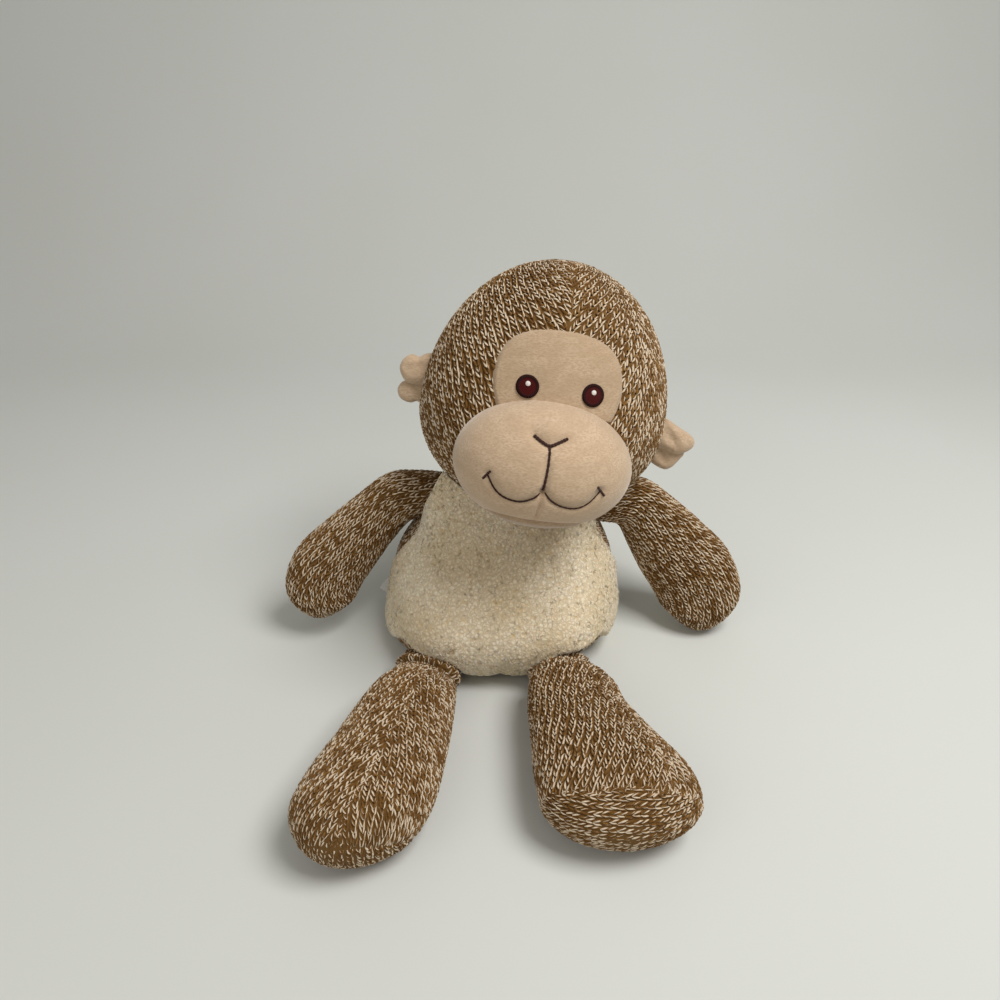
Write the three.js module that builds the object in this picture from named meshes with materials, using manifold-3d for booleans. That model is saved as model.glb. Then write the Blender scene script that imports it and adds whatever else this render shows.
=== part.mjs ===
// Sitting plush monkey with a knitted body, a fleece belly and a smooth pile face.
// Millimetres, +Z up. The toy faces -Y, so its own left side is +X.
// The origin is the middle of the flat seat that it sits on.
import * as THREE from 'three';
import { mergeVertices } from 'three/addons/utils/BufferGeometryUtils.js';
import Module from 'manifold-3d';

const wasm = await Module();
wasm.setup();

// Cloths and clearances
const gap = 0.4;
const knitCloth = 2.2;
const fleeceCloth = 3.2;
const smoothCloth = 1.6;
const stuffingClearance = 1.4;
const flatUnderside = 0.5;

// Torso rings: height, middle x, middle y, half width, half depth
const torsoRings = [
  [0, -2, -2, 60, 49],
  [5, 0, -3, 66, 56],
  [16, 4, -4, 68.5, 63],
  [32, 5, -3, 66.5, 63.5],
  [50, 5.5, 1, 63, 56],
  [66, 7.7, 6, 53.5, 48.5],
  [82, 10, 12, 44.5, 41],
  [96, 15, 17, 32.5, 31],
  [104, 21, 20, 12, 10],
];
const sideSeamY = 2;
const bellyHemMiddle = 5;
const bellyHemHip = 21;
const bellyHemStartX = 12;
const bellyHemEndX = 46;
const pelletDepth = 24;

// Neck and head
const neckAt = new THREE.Vector3(22, 17, 92);
const neckRadius = 27;
const headAboveNeck = new THREE.Vector3(4.1, -4, 39.6);
const headRadii = new THREE.Vector3(67.4, 62, 81.7);
const headRadiusBelow = 56;
const headLean = 0.024;
const headSeamX = 1.2;
const headTiltDeg = 8.5;
const headPitchDeg = -18;
const earSeamY = 8;
const turnLimitDeg = 20;
const nodDownLimitDeg = 10;
const nodUpLimitDeg = 12;
const headClearance = 1.2;

// Face patch: a rounded outline on the front of the head
const patchMiddleX = -0.3;
const patchHalfWidth = 31.4;
const patchTop = 45;
const patchCornerX = 28;
const patchBottom = 5;

// Muzzle
const muzzleAt = new THREE.Vector3(-2.3, -55.1, -19.1);
const muzzleRadii = new THREE.Vector3(44, 34, 31.5);
const muzzleRadiusBelow = 31.4;
const chinSeamBelowMiddle = 22;
const threadRadius = 0.8;

// Eyes: embroidered discs with a small highlight
const eyeMiddleX = 0.5;
const eyeSpread = 15.9;
const eyeHeight = 17.2;
const eyeRadius = 5.8;
const eyeThickness = 1.2;
const glintRadius = 1.7;
const glintRise = 1.4;
const glintThickness = 0.8;

// Ears: two soft folds each. Roots and folds are in the frame of the head
const earFoldLimitDeg = 15;
const ears = {
  left: {
    root: [9, -8],
    upper: { at: [77.5, 7.5, -4.5], radii: [13.5, 7, 10.5] },
    lower: { at: [74.5, 11.5, -16.5], radii: [12, 6, 8.5] },
  },
  right: {
    root: [5, 8],
    upper: { at: [-72.3, 2.4, 14], radii: [9.5, 6, 8.8] },
    lower: { at: [-72, 6.3, 1], radii: [9.5, 5.5, 6.8] },
  },
};

// Limb stations from the joint outward: x, y, z, half width, half depth, section turn in degrees
const armStations = {
  left: [
    [-3, 2, -3, 10, 11, 84],
    [10, 2, -3.5, 12, 12.5, 78],
    [26, 0, -2.5, 15.8, 15, 63],
    [39.4, -3, -15.4, 19.6, 16.4, 46],
    [51.6, -7.3, -29.6, 23.3, 17.5, 41],
    [63.5, -13, -42.9, 25.3, 17.4, 32],
    [70.3, -19.4, -59.1, 23.9, 16.5, 10],
    [69.2, -26, -76.7, 17, 15, -4],
  ],
  right: [
    [4, 3, 0, 10.5, 11.5, -82],
    [-9, 1, 0.6, 12.4, 12.6, -77],
    [-23, -2, -0.8, 14.4, 14.4, -66],
    [-37.8, -7, -13.5, 17, 16, -52],
    [-52.6, -13, -27.5, 19.8, 16.7, -45],
    [-65.3, -19, -40.6, 21.9, 16.3, -34],
    [-71.2, -24.2, -54.8, 20.4, 14.9, -13],
    [-71.5, -29, -68.4, 14, 13, -1],
  ],
};
const legStations = {
  left: [
    [-1, 5.5, -1, 15, 5, 3],
    [-0.5, -1, 2, 17, 11, 3],
    [1.3, -14, 6, 17.6, 18, 4],
    [3.9, -30, 8, 20, 21, 5],
    [7, -44, 8.5, 25, 21.5, 6],
    [11.5, -64, 9, 30, 22, 7],
    [18.5, -82, 9, 36, 22, 5],
    [20.5, -97.5, 8.5, 36.3, 21.5, 2],
    [19.8, -117.2, 8, 35.5, 21, 0],
  ],
  right: [
    [0, 4, -1, 15, 5, 5],
    [-1.5, -8, 2.5, 17.3, 12, 6.6],
    [-3, -23, 6, 17.8, 17.5, 8.5],
    [-5.9, -40.8, 7.5, 21.9, 20, 10.6],
    [-10, -59.5, 8.5, 25.1, 21.5, 12.5],
    [-14.3, -78, 9, 27.4, 22, 13.2],
    [-19.5, -95, 9, 29.6, 22, 12.5],
    [-25, -110, 8.5, 28.3, 21.5, 10.5],
    [-32.5, -128, 8, 23, 21, 8],
  ],
};
const shoulderHeight = { left: 78, right: 81 };
const shoulderSink = 2;
const hipSpread = 35.5;
const hipHeight = 13;
const hipSink = 1;
const soleShare = { left: 0.87, right: 0.9 };
const armForwardLimitDeg = 40;
const armBackLimitDeg = 3;
const legLiftLimitDeg = 50;
const legDropLimitDeg = 45;

// Sewn-in side label, blank
const labelLength = 8;
const labelWidth = 10;
const labelThickness = 0.7;
const labelHeight = 14;
const labelY = 6.5;
const labelTurnDeg = 35;

const colours = {
  knit: 0x8a6a45,
  fleece: 0xcdbb97,
  smooth: 0xc8ac93,
  thread: 0x4a2622,
  highlight: 0xf2efe9,
  filling: 0xe9e6df,
  pellets: 0xd9d9d9,
  label: 0xe6e6e2,
};

// How many facets go round a form
const torsoFacets = 26;
const headFacets = 24;
const muzzleFacets = 20;
const limbFacets = 16;
const stuffingFacets = 12;
const smallFacets = 12;
const threadFacets = 6;

const farAway = 600;
const left = 1;
const right = -1;
const radians = THREE.MathUtils.degToRad;

// Value at t between first and second on a smooth curve through four neighbours
function smoothBetween(before, first, second, after, t) {
  const slopeIn = (second - before) / 2;
  const slopeOut = (after - first) / 2;
  const cubic = 2 * first - 2 * second + slopeIn + slopeOut;
  const square = -3 * first + 3 * second - 2 * slopeIn - slopeOut;
  return ((cubic * t + square) * t + slopeIn) * t + first;
}

// A row between the rows of a table, at a share of the way through it
function rowAt(rows, share) {
  const place = share * (rows.length - 1);
  const index = THREE.MathUtils.clamp(Math.floor(place), 0, rows.length - 2);
  const first = rows[index];
  const second = rows[index + 1];
  const before = rows[index - 1] ?? first.map((value, i) => 2 * value - second[i]);
  const after = rows[index + 2] ?? second.map((value, i) => 2 * value - first[i]);
  return first.map((value, i) => smoothBetween(before[i], value, second[i], after[i], place - index));
}

// Closed skin through rings of points, with each end drawn to one point
function skinOver(rings, startPoint, endPoint) {
  const segments = rings[0].length;
  const points = [startPoint, ...rings.flat(), endPoint];
  const faces = [];
  for (let j = 0; j < segments; j += 1) {
    const next = (j + 1) % segments;
    faces.push([0, 1 + next, 1 + j]);
    for (let i = 0; i + 1 < rings.length; i += 1) {
      const low = 1 + i * segments;
      const high = low + segments;
      faces.push([low + j, low + next, high + next], [low + j, high + next, high + j]);
    }
    const last = 1 + (rings.length - 1) * segments;
    faces.push([last + j, last + next, points.length - 1]);
  }
  const volume = faces.reduce((sum, [a, b, c]) => (
    sum + points[a].dot(new THREE.Vector3().crossVectors(points[b], points[c]))), 0);
  const index = volume > 0 ? faces.flat() : faces.map(([a, b, c]) => [a, c, b]).flat();
  const geometry = new THREE.BufferGeometry().setFromPoints(points);
  geometry.setIndex(index);
  return geometry;
}

function ellipseRing(centre, acrossAxis, deepAxis, across, deep, segments) {
  return Array.from({ length: segments }, (_, j) => {
    const angle = (2 * Math.PI * j) / segments;
    return centre.clone()
      .addScaledVector(acrossAxis, across * Math.cos(angle))
      .addScaledVector(deepAxis, deep * Math.sin(angle));
  });
}

// Solids for joining and cutting
function solidOf(geometry, matrix = new THREE.Matrix4()) {
  const bare = geometry.clone().applyMatrix4(matrix);
  bare.deleteAttribute('normal');
  bare.deleteAttribute('uv');
  const merged = mergeVertices(bare, 1e-5);
  return new wasm.Manifold(new wasm.Mesh({
    numProp: 3,
    vertProperties: new Float32Array(merged.attributes.position.array),
    triVerts: new Uint32Array(merged.index.array),
  }));
}

function geometryOf(solid) {
  const { vertProperties, triVerts } = solid.getMesh();
  const geometry = new THREE.BufferGeometry();
  geometry.setAttribute('position', new THREE.BufferAttribute(new Float32Array(vertProperties), 3));
  geometry.setIndex(new THREE.BufferAttribute(new Uint32Array(triVerts), 1));
  geometry.computeVertexNormals();
  return geometry;
}

function piece(name, solid, colour, roughness = 0.95) {
  const material = new THREE.MeshStandardMaterial({ color: colour, roughness, metalness: 0 });
  const mesh = new THREE.Mesh(geometryOf(solid), material);
  mesh.name = name;
  return mesh;
}

function cutBy(solid, cutters) {
  return cutters.reduce((rest, cutter) => rest.subtract(cutter), solid);
}

// Everything between two planes across one axis
function slab(axis, from, to) {
  const size = new THREE.Vector3(farAway, farAway, farAway).setComponent('xyz'.indexOf(axis), to - from);
  const middle = new THREE.Vector3().setComponent('xyz'.indexOf(axis), (from + to) / 2);
  return solidOf(new THREE.BoxGeometry(size.x, size.y, size.z).translate(middle.x, middle.y, middle.z));
}

function ellipsoid(radii, grow, at, segments = headFacets, matrix = new THREE.Matrix4()) {
  const ball = new THREE.SphereGeometry(1, segments, Math.round(segments * 0.6));
  ball.scale(radii.x + grow, radii.y + grow, radii.z + grow).translate(at.x, at.y, at.z);
  return solidOf(ball, matrix);
}

// An egg has another radius below its widest level, and its upright axis leans sideways
function egg(radii, radiusBelow, lean, grow, at, segments, matrix = new THREE.Matrix4()) {
  const ball = new THREE.SphereGeometry(1, segments, Math.round(segments * 0.6)).rotateX(Math.PI / 2);
  const points = ball.attributes.position;
  for (let i = 0; i < points.count; i += 1) {
    const unit = points.getZ(i);
    const z = unit * ((unit > 0 ? radii.z : radiusBelow) + grow);
    const x = points.getX(i) * (radii.x + grow) + lean * z;
    points.setXYZ(i, at.x + x, at.y + points.getY(i) * (radii.y + grow), at.z + z);
  }
  return solidOf(ball, matrix);
}

function headForm(grow, segments = headFacets, matrix = new THREE.Matrix4()) {
  return egg(headRadii, headRadiusBelow, headLean, grow, new THREE.Vector3(), segments, matrix);
}

function muzzleForm(grow, segments = muzzleFacets) {
  return egg(muzzleRadii, muzzleRadiusBelow, 0, grow, muzzleAt, segments);
}

// Torso
function torsoRingAt(height) {
  const top = torsoRings.length - 1;
  const index = torsoRings.findIndex((ring, i) => i === top || torsoRings[i + 1][0] >= height);
  const span = torsoRings[index + 1][0] - torsoRings[index][0];
  const share = (index + (height - torsoRings[index][0]) / span) / top;
  const [, x, y, halfWidth, halfDepth] = rowAt(torsoRings, share);
  return { x, y, halfWidth, halfDepth };
}

function torsoForm(grow, ringCount = 12, segments = torsoFacets) {
  const tall = torsoRings.at(-1)[0];
  const rings = Array.from({ length: ringCount + 1 }, (_, i) => {
    const [height, x, y, halfWidth, halfDepth] = rowAt(torsoRings, i / ringCount);
    const centre = new THREE.Vector3(x, y, height + grow * ((2 * height) / tall - 1));
    return ellipseRing(centre, new THREE.Vector3(1, 0, 0), new THREE.Vector3(0, 1, 0),
      halfWidth + grow, halfDepth + grow, segments);
  });
  const [, lowX, lowY] = torsoRings[0];
  const [, highX, highY] = torsoRings.at(-1);
  const start = new THREE.Vector3(lowX, lowY, -grow);
  const end = new THREE.Vector3(highX, highY, tall + grow);
  return skinOver(rings, start, end);
}

// Everything above the hem of the belly cloth, which rises over each hip
function aboveHem(lift) {
  const shape = new THREE.Shape();
  const columns = 24;
  const edge = farAway / 2;
  shape.moveTo(-edge, bellyHemHip + lift);
  for (let i = 0; i <= columns; i += 1) {
    const x = THREE.MathUtils.lerp(-bellyHemEndX, bellyHemEndX, i / columns);
    const rise = THREE.MathUtils.smoothstep(Math.abs(x), bellyHemStartX, bellyHemEndX);
    shape.lineTo(x, THREE.MathUtils.lerp(bellyHemMiddle, bellyHemHip, rise) + lift);
  }
  shape.lineTo(edge, bellyHemHip + lift);
  shape.lineTo(edge, edge);
  shape.lineTo(-edge, edge);
  const prism = new THREE.ExtrudeGeometry(shape, { depth: farAway, bevelEnabled: false });
  return solidOf(prism.rotateX(Math.PI / 2).translate(0, farAway / 2, 0));
}

const headAt = neckAt.clone().add(headAboveNeck);
const headTurn = new THREE.Euler(radians(headPitchDeg), radians(headTiltDeg), 0, 'YXZ');
const headMatrix = new THREE.Matrix4().makeRotationFromEuler(headTurn).setPosition(headAt);

// The places that the head reaches as it nods on the neck, widened for its turning
function headSweep() {
  const toNeck = new THREE.Matrix4().makeTranslation(neckAt);
  const fromNeck = toNeck.clone().invert();
  const offAxis = Math.hypot(headAboveNeck.x, headAboveNeck.y);
  const turnReach = offAxis * Math.sin(radians(turnLimitDeg));
  return [-nodUpLimitDeg, 0, nodDownLimitDeg].map((nod) => {
    const matrix = new THREE.Matrix4().makeRotationX(radians(nod));
    matrix.premultiply(toNeck).multiply(fromNeck).multiply(headMatrix);
    return headForm(headClearance + turnReach, muzzleFacets, matrix);
  });
}

function neckBall(grow, matrix = new THREE.Matrix4()) {
  const ball = new THREE.Vector3(neckRadius, neckRadius, neckRadius);
  return ellipsoid(ball, grow, neckAt, headFacets, matrix);
}

function torsoPieces() {
  const outer = solidOf(torsoForm(0));
  const clear = [neckBall(gap), ...headSweep()];
  const knitShell = cutBy(outer.subtract(solidOf(torsoForm(-knitCloth))), clear);
  const fleeceShell = cutBy(outer.subtract(solidOf(torsoForm(-fleeceCloth))), clear);
  const stuffing = cutBy(solidOf(torsoForm(-fleeceCloth - stuffingClearance, 12, stuffingFacets)), clear);
  const high = aboveHem(0);
  const front = slab('y', -farAway / 2, sideSeamY);
  const back = slab('y', sideSeamY + gap, farAway / 2);
  const pellets = slab('z', 0, fleeceCloth + gap + pelletDepth);
  const abovePellets = slab('z', fleeceCloth + 2 * gap + pelletDepth, farAway);
  return [
    piece('belly_panel', fleeceShell.intersect(high).intersect(front), colours.fleece, 1),
    piece('back_panel', knitShell.intersect(high).intersect(back), colours.knit),
    piece('seat_panel', knitShell.subtract(aboveHem(-gap)), colours.knit),
    piece('torso_filling', stuffing.intersect(abovePellets), colours.filling),
    piece('pellet_bag', stuffing.intersect(pellets), colours.pellets, 0.6),
    piece('neck_filling', neckBall(0), colours.filling),
  ];
}

// A blank label in the side seam of the toy's right hip
function sideLabel() {
  const ring = torsoRingAt(labelHeight);
  const seamX = ring.x - ring.halfWidth * Math.sqrt(1 - ((labelY - ring.y) / ring.halfDepth) ** 2);
  const turn = new THREE.Matrix4().makeRotationFromEuler(new THREE.Euler(0, radians(labelTurnDeg), 0));
  turn.setPosition(seamX - labelLength / 2, labelY, labelHeight);
  const ribbon = solidOf(new THREE.BoxGeometry(2 * labelLength, labelThickness, labelWidth), turn);
  return piece('side_label', ribbon.subtract(solidOf(torsoForm(gap))), colours.label);
}

// Head, in its own frame: the middle is the origin and the face looks along -Y
function patchPrism(grow) {
  const side = patchHalfWidth + grow;
  const high = patchTop + grow;
  const corner = patchCornerX + grow;
  const low = patchBottom - grow;
  const tall = high - low;
  const waist = low + 0.45 * tall;
  const shape = new THREE.Shape();
  shape.moveTo(-corner, low);
  shape.lineTo(corner, low);
  shape.bezierCurveTo(side, low + 0.2 * tall, side + 1, waist - 0.1 * tall, side, waist);
  shape.bezierCurveTo(side - 1, high - 0.1 * tall, side * 0.55, high, 0, high);
  shape.bezierCurveTo(-side * 0.55, high, -side + 1, high - 0.1 * tall, -side, waist);
  shape.bezierCurveTo(-side - 1, waist - 0.1 * tall, -side, low + 0.2 * tall, -corner, low);
  const prism = new THREE.ExtrudeGeometry(shape, { depth: farAway, bevelEnabled: false, curveSegments: 8 });
  return solidOf(prism.rotateX(Math.PI / 2).translate(patchMiddleX, 0, 0));
}

function headLayer(from, to, segments = headFacets) {
  return headForm(to, segments).subtract(headForm(from, segments));
}

function headPieces() {
  const neck = neckBall(gap, headMatrix.clone().invert());
  const shell = headLayer(-knitCloth, 0).subtract(neck);
  const frontShell = shell.intersect(slab('y', -farAway / 2, earSeamY)).subtract(patchPrism(gap));
  const backShell = shell.intersect(slab('y', earSeamY + gap, farAway / 2));
  const leftHalf = slab('x', headSeamX + gap, farAway / 2);
  const rightHalf = slab('x', -farAway / 2, headSeamX);
  const patch = headLayer(-smoothCloth, 0).intersect(patchPrism(0));
  const filling = headForm(-knitCloth - stuffingClearance, stuffingFacets).subtract(neck);
  return [
    piece('head_front_left', frontShell.intersect(leftHalf), colours.knit),
    piece('head_front_right', frontShell.intersect(rightHalf), colours.knit),
    piece('head_back_left', backShell.intersect(leftHalf), colours.knit),
    piece('head_back_right', backShell.intersect(rightHalf), colours.knit),
    piece('face_patch', patch, colours.smooth),
    piece('head_filling', filling, colours.filling),
  ];
}

function muzzlePieces() {
  const head = headForm(gap);
  const cover = muzzleForm(0).subtract(muzzleForm(-smoothCloth)).subtract(head);
  const seam = muzzleAt.z - chinSeamBelowMiddle;
  const stuffing = muzzleForm(-smoothCloth - stuffingClearance, stuffingFacets);
  return [
    piece('muzzle_cover', cover.intersect(slab('z', seam, farAway / 2)), colours.smooth),
    piece('chin_panel', cover.intersect(slab('z', -farAway / 2, seam - gap)), colours.smooth),
    piece('muzzle_filling', stuffing.subtract(head), colours.filling),
  ];
}

// Embroidery: a raised thread that follows the muzzle through points given across and up it
function threadAlong(points) {
  const lift = threadRadius + gap;
  const path = new THREE.CatmullRomCurve3(points.map(([x, z]) => {
    const tall = z > 0 ? muzzleRadii.z : muzzleRadiusBelow;
    const across = x / muzzleRadii.x;
    const up = z / tall;
    const y = -(muzzleRadii.y + lift) * Math.sqrt(1 - across * across - up * up);
    const outward = new THREE.Vector3(across / muzzleRadii.x, 0, up / tall);
    outward.y = y / (muzzleRadii.y * muzzleRadii.y);
    const shift = lift * (1 - Math.abs(outward.normalize().y));
    return new THREE.Vector3(x, y, z).addScaledVector(outward, shift).add(muzzleAt);
  }));
  const section = new THREE.Shape().absarc(0, 0, threadRadius, 0, 2 * Math.PI);
  const steps = 3 * (points.length - 1);
  return solidOf(new THREE.ExtrudeGeometry(section, {
    steps, extrudePath: path, bevelEnabled: false, curveSegments: threadFacets / 2,
  }));
}

function threadPieces() {
  const noseMiddle = [-1.6, 13.2];
  const nose = threadAlong([[-9.2, 16.8], [-5.5, 14.6], noseMiddle, [2.4, 15], [6.6, 17.3]])
    .add(threadAlong([noseMiddle, [-1.2, 7], [-1.3, 1], [-1.6, -4], [-1.8, -7.3]]));
  const rightLine = [[-3.2, -9], [-6, -11.8], [-11.5, -14.3], [-18, -13.6], [-23, -10.4], [-27.4, -4]];
  const rightTick = [[-29.2, -6.4], [-27.6, -4.2], [-26.2, -2]];
  const leftLine = [[0, -9], [3, -11.6], [8.5, -14], [15, -14.4], [20.5, -11.4], [25.4, -4.6]];
  const leftTick = [[23.2, -2.6], [25.5, -4.8], [27.6, -7]];
  const rightSmile = threadAlong(rightLine).add(threadAlong(rightTick));
  const leftSmile = threadAlong(leftLine).add(threadAlong(leftTick));
  return [
    piece('nose_stitches', nose, colours.thread, 0.8),
    piece('mouth_stitches_left', leftSmile, colours.thread, 0.8),
    piece('mouth_stitches_right', rightSmile, colours.thread, 0.8),
  ];
}

function discOn(x, z, radius, from, to) {
  const drill = new THREE.CylinderGeometry(radius, radius, farAway, smallFacets);
  return headLayer(from, to, 2 * headFacets).intersect(solidOf(drill.translate(x, -farAway / 2, z)));
}

function eyePieces(name, side) {
  const x = eyeMiddleX + side * eyeSpread;
  const glintFrom = eyeThickness + 2 * gap;
  const eye = discOn(x, eyeHeight, eyeRadius, gap, gap + eyeThickness);
  const glint = discOn(x, eyeHeight + glintRise, glintRadius, glintFrom, glintFrom + glintThickness);
  return [
    piece(`eye_${name}`, eye, colours.thread, 0.7),
    piece(`eye_highlight_${name}`, glint, colours.highlight, 0.6),
  ];
}

// Ears, each in a frame at its root, which folds about the upright axis of the head
function ear(name, side) {
  const [y, z] = ears[name].root;
  const tall = z > 0 ? headRadii.z : headRadiusBelow;
  const reach = Math.sqrt(1 - (y / headRadii.y) ** 2 - (z / tall) ** 2);
  const group = new THREE.Group();
  group.position.set(side * headRadii.x * reach + headLean * z, y, z);
  const toRoot = new THREE.Matrix4().makeTranslation(group.position.clone().negate());
  const lobe = ({ at, radii }) => (
    ellipsoid(new THREE.Vector3(...radii), 0, new THREE.Vector3(...at), smallFacets, toRoot));
  const heads = [-earFoldLimitDeg, 0, earFoldLimitDeg].map((foldDeg) => (
    headForm(gap, headFacets, new THREE.Matrix4().makeRotationZ(radians(foldDeg)).multiply(toRoot))));
  const folds = lobe(ears[name].upper).add(lobe(ears[name].lower));
  group.add(piece(`ear_${name}`, cutBy(folds, heads), colours.smooth));
  return group;
}

function head() {
  const group = new THREE.Group();
  group.position.copy(headAt);
  group.rotation.copy(headTurn);
  group.add(...headPieces(), ...muzzlePieces(), ...threadPieces());
  group.add(...eyePieces('left', left), ...eyePieces('right', right));
  group.add(ear('left', left), ear('right', right));
  return group;
}

// A limb's form: ellipses along its stations, rounded over the last share of its length
function limbForm(stations, sectionAxes, grow, tipShare, bodyRings, segments) {
  const joints = stations.map(([x, y, z]) => new THREE.Vector3(x, y, z));
  const long = joints.slice(1).reduce((sum, point, i) => sum + point.distanceTo(joints[i]), 0);
  const endShare = 1 + grow / long;
  const capRings = 3;
  const ringAt = (share, roundness) => {
    const [x, y, z, across, deep, turnDeg] = rowAt(stations, share);
    const [acrossAxis, deepAxis] = sectionAxes(radians(turnDeg));
    return ellipseRing(new THREE.Vector3(x, y, z), acrossAxis, deepAxis,
      roundness * (across + grow), roundness * (deep + grow), segments);
  };
  const bodyEnd = endShare - tipShare;
  const rings = Array.from({ length: bodyRings + 1 }, (_, i) => ringAt((bodyEnd * i) / bodyRings, 1));
  for (let i = 1; i < capRings; i += 1) {
    const angle = (Math.PI / 2) * (i / capRings);
    rings.push(ringAt(bodyEnd + tipShare * Math.sin(angle), Math.cos(angle)));
  }
  const end = new THREE.Vector3(...rowAt(stations, endShare).slice(0, 3));
  return skinOver(rings, new THREE.Vector3(...stations[0].slice(0, 3)), end);
}

const armAxes = (turn) => [
  new THREE.Vector3(Math.cos(turn), 0, Math.sin(turn)),
  new THREE.Vector3(0, 1, 0),
];
const legAxes = (turn) => [
  new THREE.Vector3(Math.cos(turn), -Math.sin(turn), 0),
  new THREE.Vector3(0, 0, 1),
];

// A limb swings about the sideways axis through its root, and meets its neighbours on the way
function swings(root, fromDeg, toDeg, count) {
  const toRoot = new THREE.Matrix4().makeTranslation(root.clone().negate());
  return Array.from({ length: count + 1 }, (_, i) => {
    const angle = radians(THREE.MathUtils.lerp(fromDeg, toDeg, i / count));
    return new THREE.Matrix4().makeRotationX(angle).multiply(toRoot);
  });
}

function torsoMetBy(root, fromDeg, toDeg) {
  const form = torsoForm(gap);
  return swings(root, fromDeg, toDeg, 5).map((matrix) => solidOf(form, matrix));
}

function headMetBy(root, fromDeg, toDeg) {
  const forms = headSweep();
  return swings(root, fromDeg, toDeg, 2).flatMap((matrix) => (
    forms.map((form) => form.transform(matrix.elements))));
}

function shoulderAt(name, side) {
  const ring = torsoRingAt(shoulderHeight[name]);
  return new THREE.Vector3(ring.x + side * (ring.halfWidth - shoulderSink), ring.y, shoulderHeight[name]);
}

function arm(name, side) {
  const group = new THREE.Group();
  group.position.copy(shoulderAt(name, side));
  const stations = armStations[name];
  const clear = [
    ...torsoMetBy(group.position, -armBackLimitDeg, armForwardLimitDeg),
    ...headMetBy(group.position, -armBackLimitDeg, armForwardLimitDeg),
  ];
  const form = (grow, rings, segments) => (
    solidOf(limbForm(stations, armAxes, grow, 0.17, rings, segments)));
  const cover = cutBy(form(0, 8, limbFacets).subtract(form(-knitCloth, 8, limbFacets)), clear);
  const filling = cutBy(form(-knitCloth - stuffingClearance, 8, stuffingFacets), clear);
  group.add(piece(`arm_cover_${name}`, cover, colours.knit));
  group.add(piece(`arm_filling_${name}`, filling, colours.filling));
  return group;
}

function hipAt(side) {
  const ring = torsoRingAt(hipHeight);
  const across = (side * hipSpread - ring.x) / ring.halfWidth;
  const y = ring.y - ring.halfDepth * Math.sqrt(1 - across * across) + hipSink;
  return new THREE.Vector3(side * hipSpread, y, hipHeight);
}

function leg(name, side) {
  const group = new THREE.Group();
  group.position.copy(hipAt(side));
  const stations = legStations[name];
  const torso = torsoMetBy(group.position, -legDropLimitDeg, legLiftLimitDeg);
  const underside = slab('z', -farAway / 2, -hipHeight);
  const sunk = new THREE.Matrix4().makeTranslation(0, 0, -flatUnderside);
  const form = (grow, rings, segments) => (
    solidOf(limbForm(stations, legAxes, grow, 0.13, rings, segments), sunk));
  const shell = form(0, 9, limbFacets).subtract(form(-knitCloth, 9, limbFacets));
  const cover = cutBy(shell, [...torso, underside]);
  const soleY = rowAt(stations, soleShare[name])[1];
  const upper = cover.intersect(slab('y', soleY + gap, farAway / 2));
  const sole = cover.intersect(slab('y', -farAway / 2, soleY));
  const filling = cutBy(form(-knitCloth - stuffingClearance, 9, stuffingFacets), torso);
  group.add(piece(`leg_cover_${name}`, upper, colours.knit));
  group.add(piece(`foot_sole_${name}`, sole, colours.knit));
  group.add(piece(`leg_filling_${name}`, filling, colours.filling));
  return group;
}

const monkey = new THREE.Group();
monkey.add(...torsoPieces(), sideLabel(), head());
monkey.add(arm('left', left), arm('right', right), leg('left', left), leg('right', right));

export default monkey;
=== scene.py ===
"""Seated plush monkey: knitted limbs and head, curly fleece belly, smooth pile face.
Sizes are in millimetres and become metres where a mesh is made. The toy faces -Y, its left is +X."""
import math
import bpy
import numpy as np
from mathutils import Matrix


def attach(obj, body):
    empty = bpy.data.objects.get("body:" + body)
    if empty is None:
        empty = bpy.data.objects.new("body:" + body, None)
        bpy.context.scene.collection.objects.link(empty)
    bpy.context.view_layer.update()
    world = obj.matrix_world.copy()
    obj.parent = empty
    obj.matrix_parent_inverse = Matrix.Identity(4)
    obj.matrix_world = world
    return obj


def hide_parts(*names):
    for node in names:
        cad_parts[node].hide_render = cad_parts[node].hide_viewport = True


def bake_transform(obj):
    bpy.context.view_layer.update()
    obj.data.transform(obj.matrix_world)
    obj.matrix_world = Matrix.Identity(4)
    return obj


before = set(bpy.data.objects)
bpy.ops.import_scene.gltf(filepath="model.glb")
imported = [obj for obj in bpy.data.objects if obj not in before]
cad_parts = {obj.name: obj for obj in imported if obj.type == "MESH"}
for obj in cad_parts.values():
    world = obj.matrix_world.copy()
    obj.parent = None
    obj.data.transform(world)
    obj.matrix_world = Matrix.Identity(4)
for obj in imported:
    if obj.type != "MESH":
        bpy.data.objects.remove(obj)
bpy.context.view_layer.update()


# Seat and back of the torso. Real pieces: two panels of chunky knitted cloth, marled brown and
# white, sewn together into a bag. Each stitch is a V of two raised yarn legs over a dark ground,
# whose plain dark brown is partly painted shade of the gaps between the stitches.
METRE = 0.001
# Torso stations from the floor up: height, place sideways and in depth, half width, half depth.
TORSO_ROWS = np.array([
    [0, -2, -2, 60, 49],
    [5, 0, -3, 66, 56],
    [16, 4, -4, 68.5, 63],
    [32, 5, -3, 66.5, 63.5],
    [50, 5.5, 1, 63, 56],
    [66, 7.7, 6, 53.5, 48.5],
    [82, 10, 12, 44.5, 41],
    [96, 15, 17, 32.5, 31],
    [104, 21, 20, 12, 10],
])
TORSO_STEPS = 160
# The hem of the fleece on average, in mm up the torso's side.
SEAT_RISE = 10
# The egg of the head, which presses on the top of the torso. Its radius downwards is HEAD_BELOW.
HEAD_AT = np.array([26.1, 13, 131.6])
HEAD_RADII = np.array([67.4, 62, 81.7])
HEAD_BELOW = 56
HEAD_LEAN = 0.024
HEAD_TILT = math.radians(8.5)
HEAD_PITCH = math.radians(-18)
PRESS_STEPS = 50
PRESS_STEP = 0.8
# How far the cloth is drawn out over the root of the toy's right arm.
SHOULDER_PULL = np.array([-18.0, -2.0, 17.0])
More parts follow.
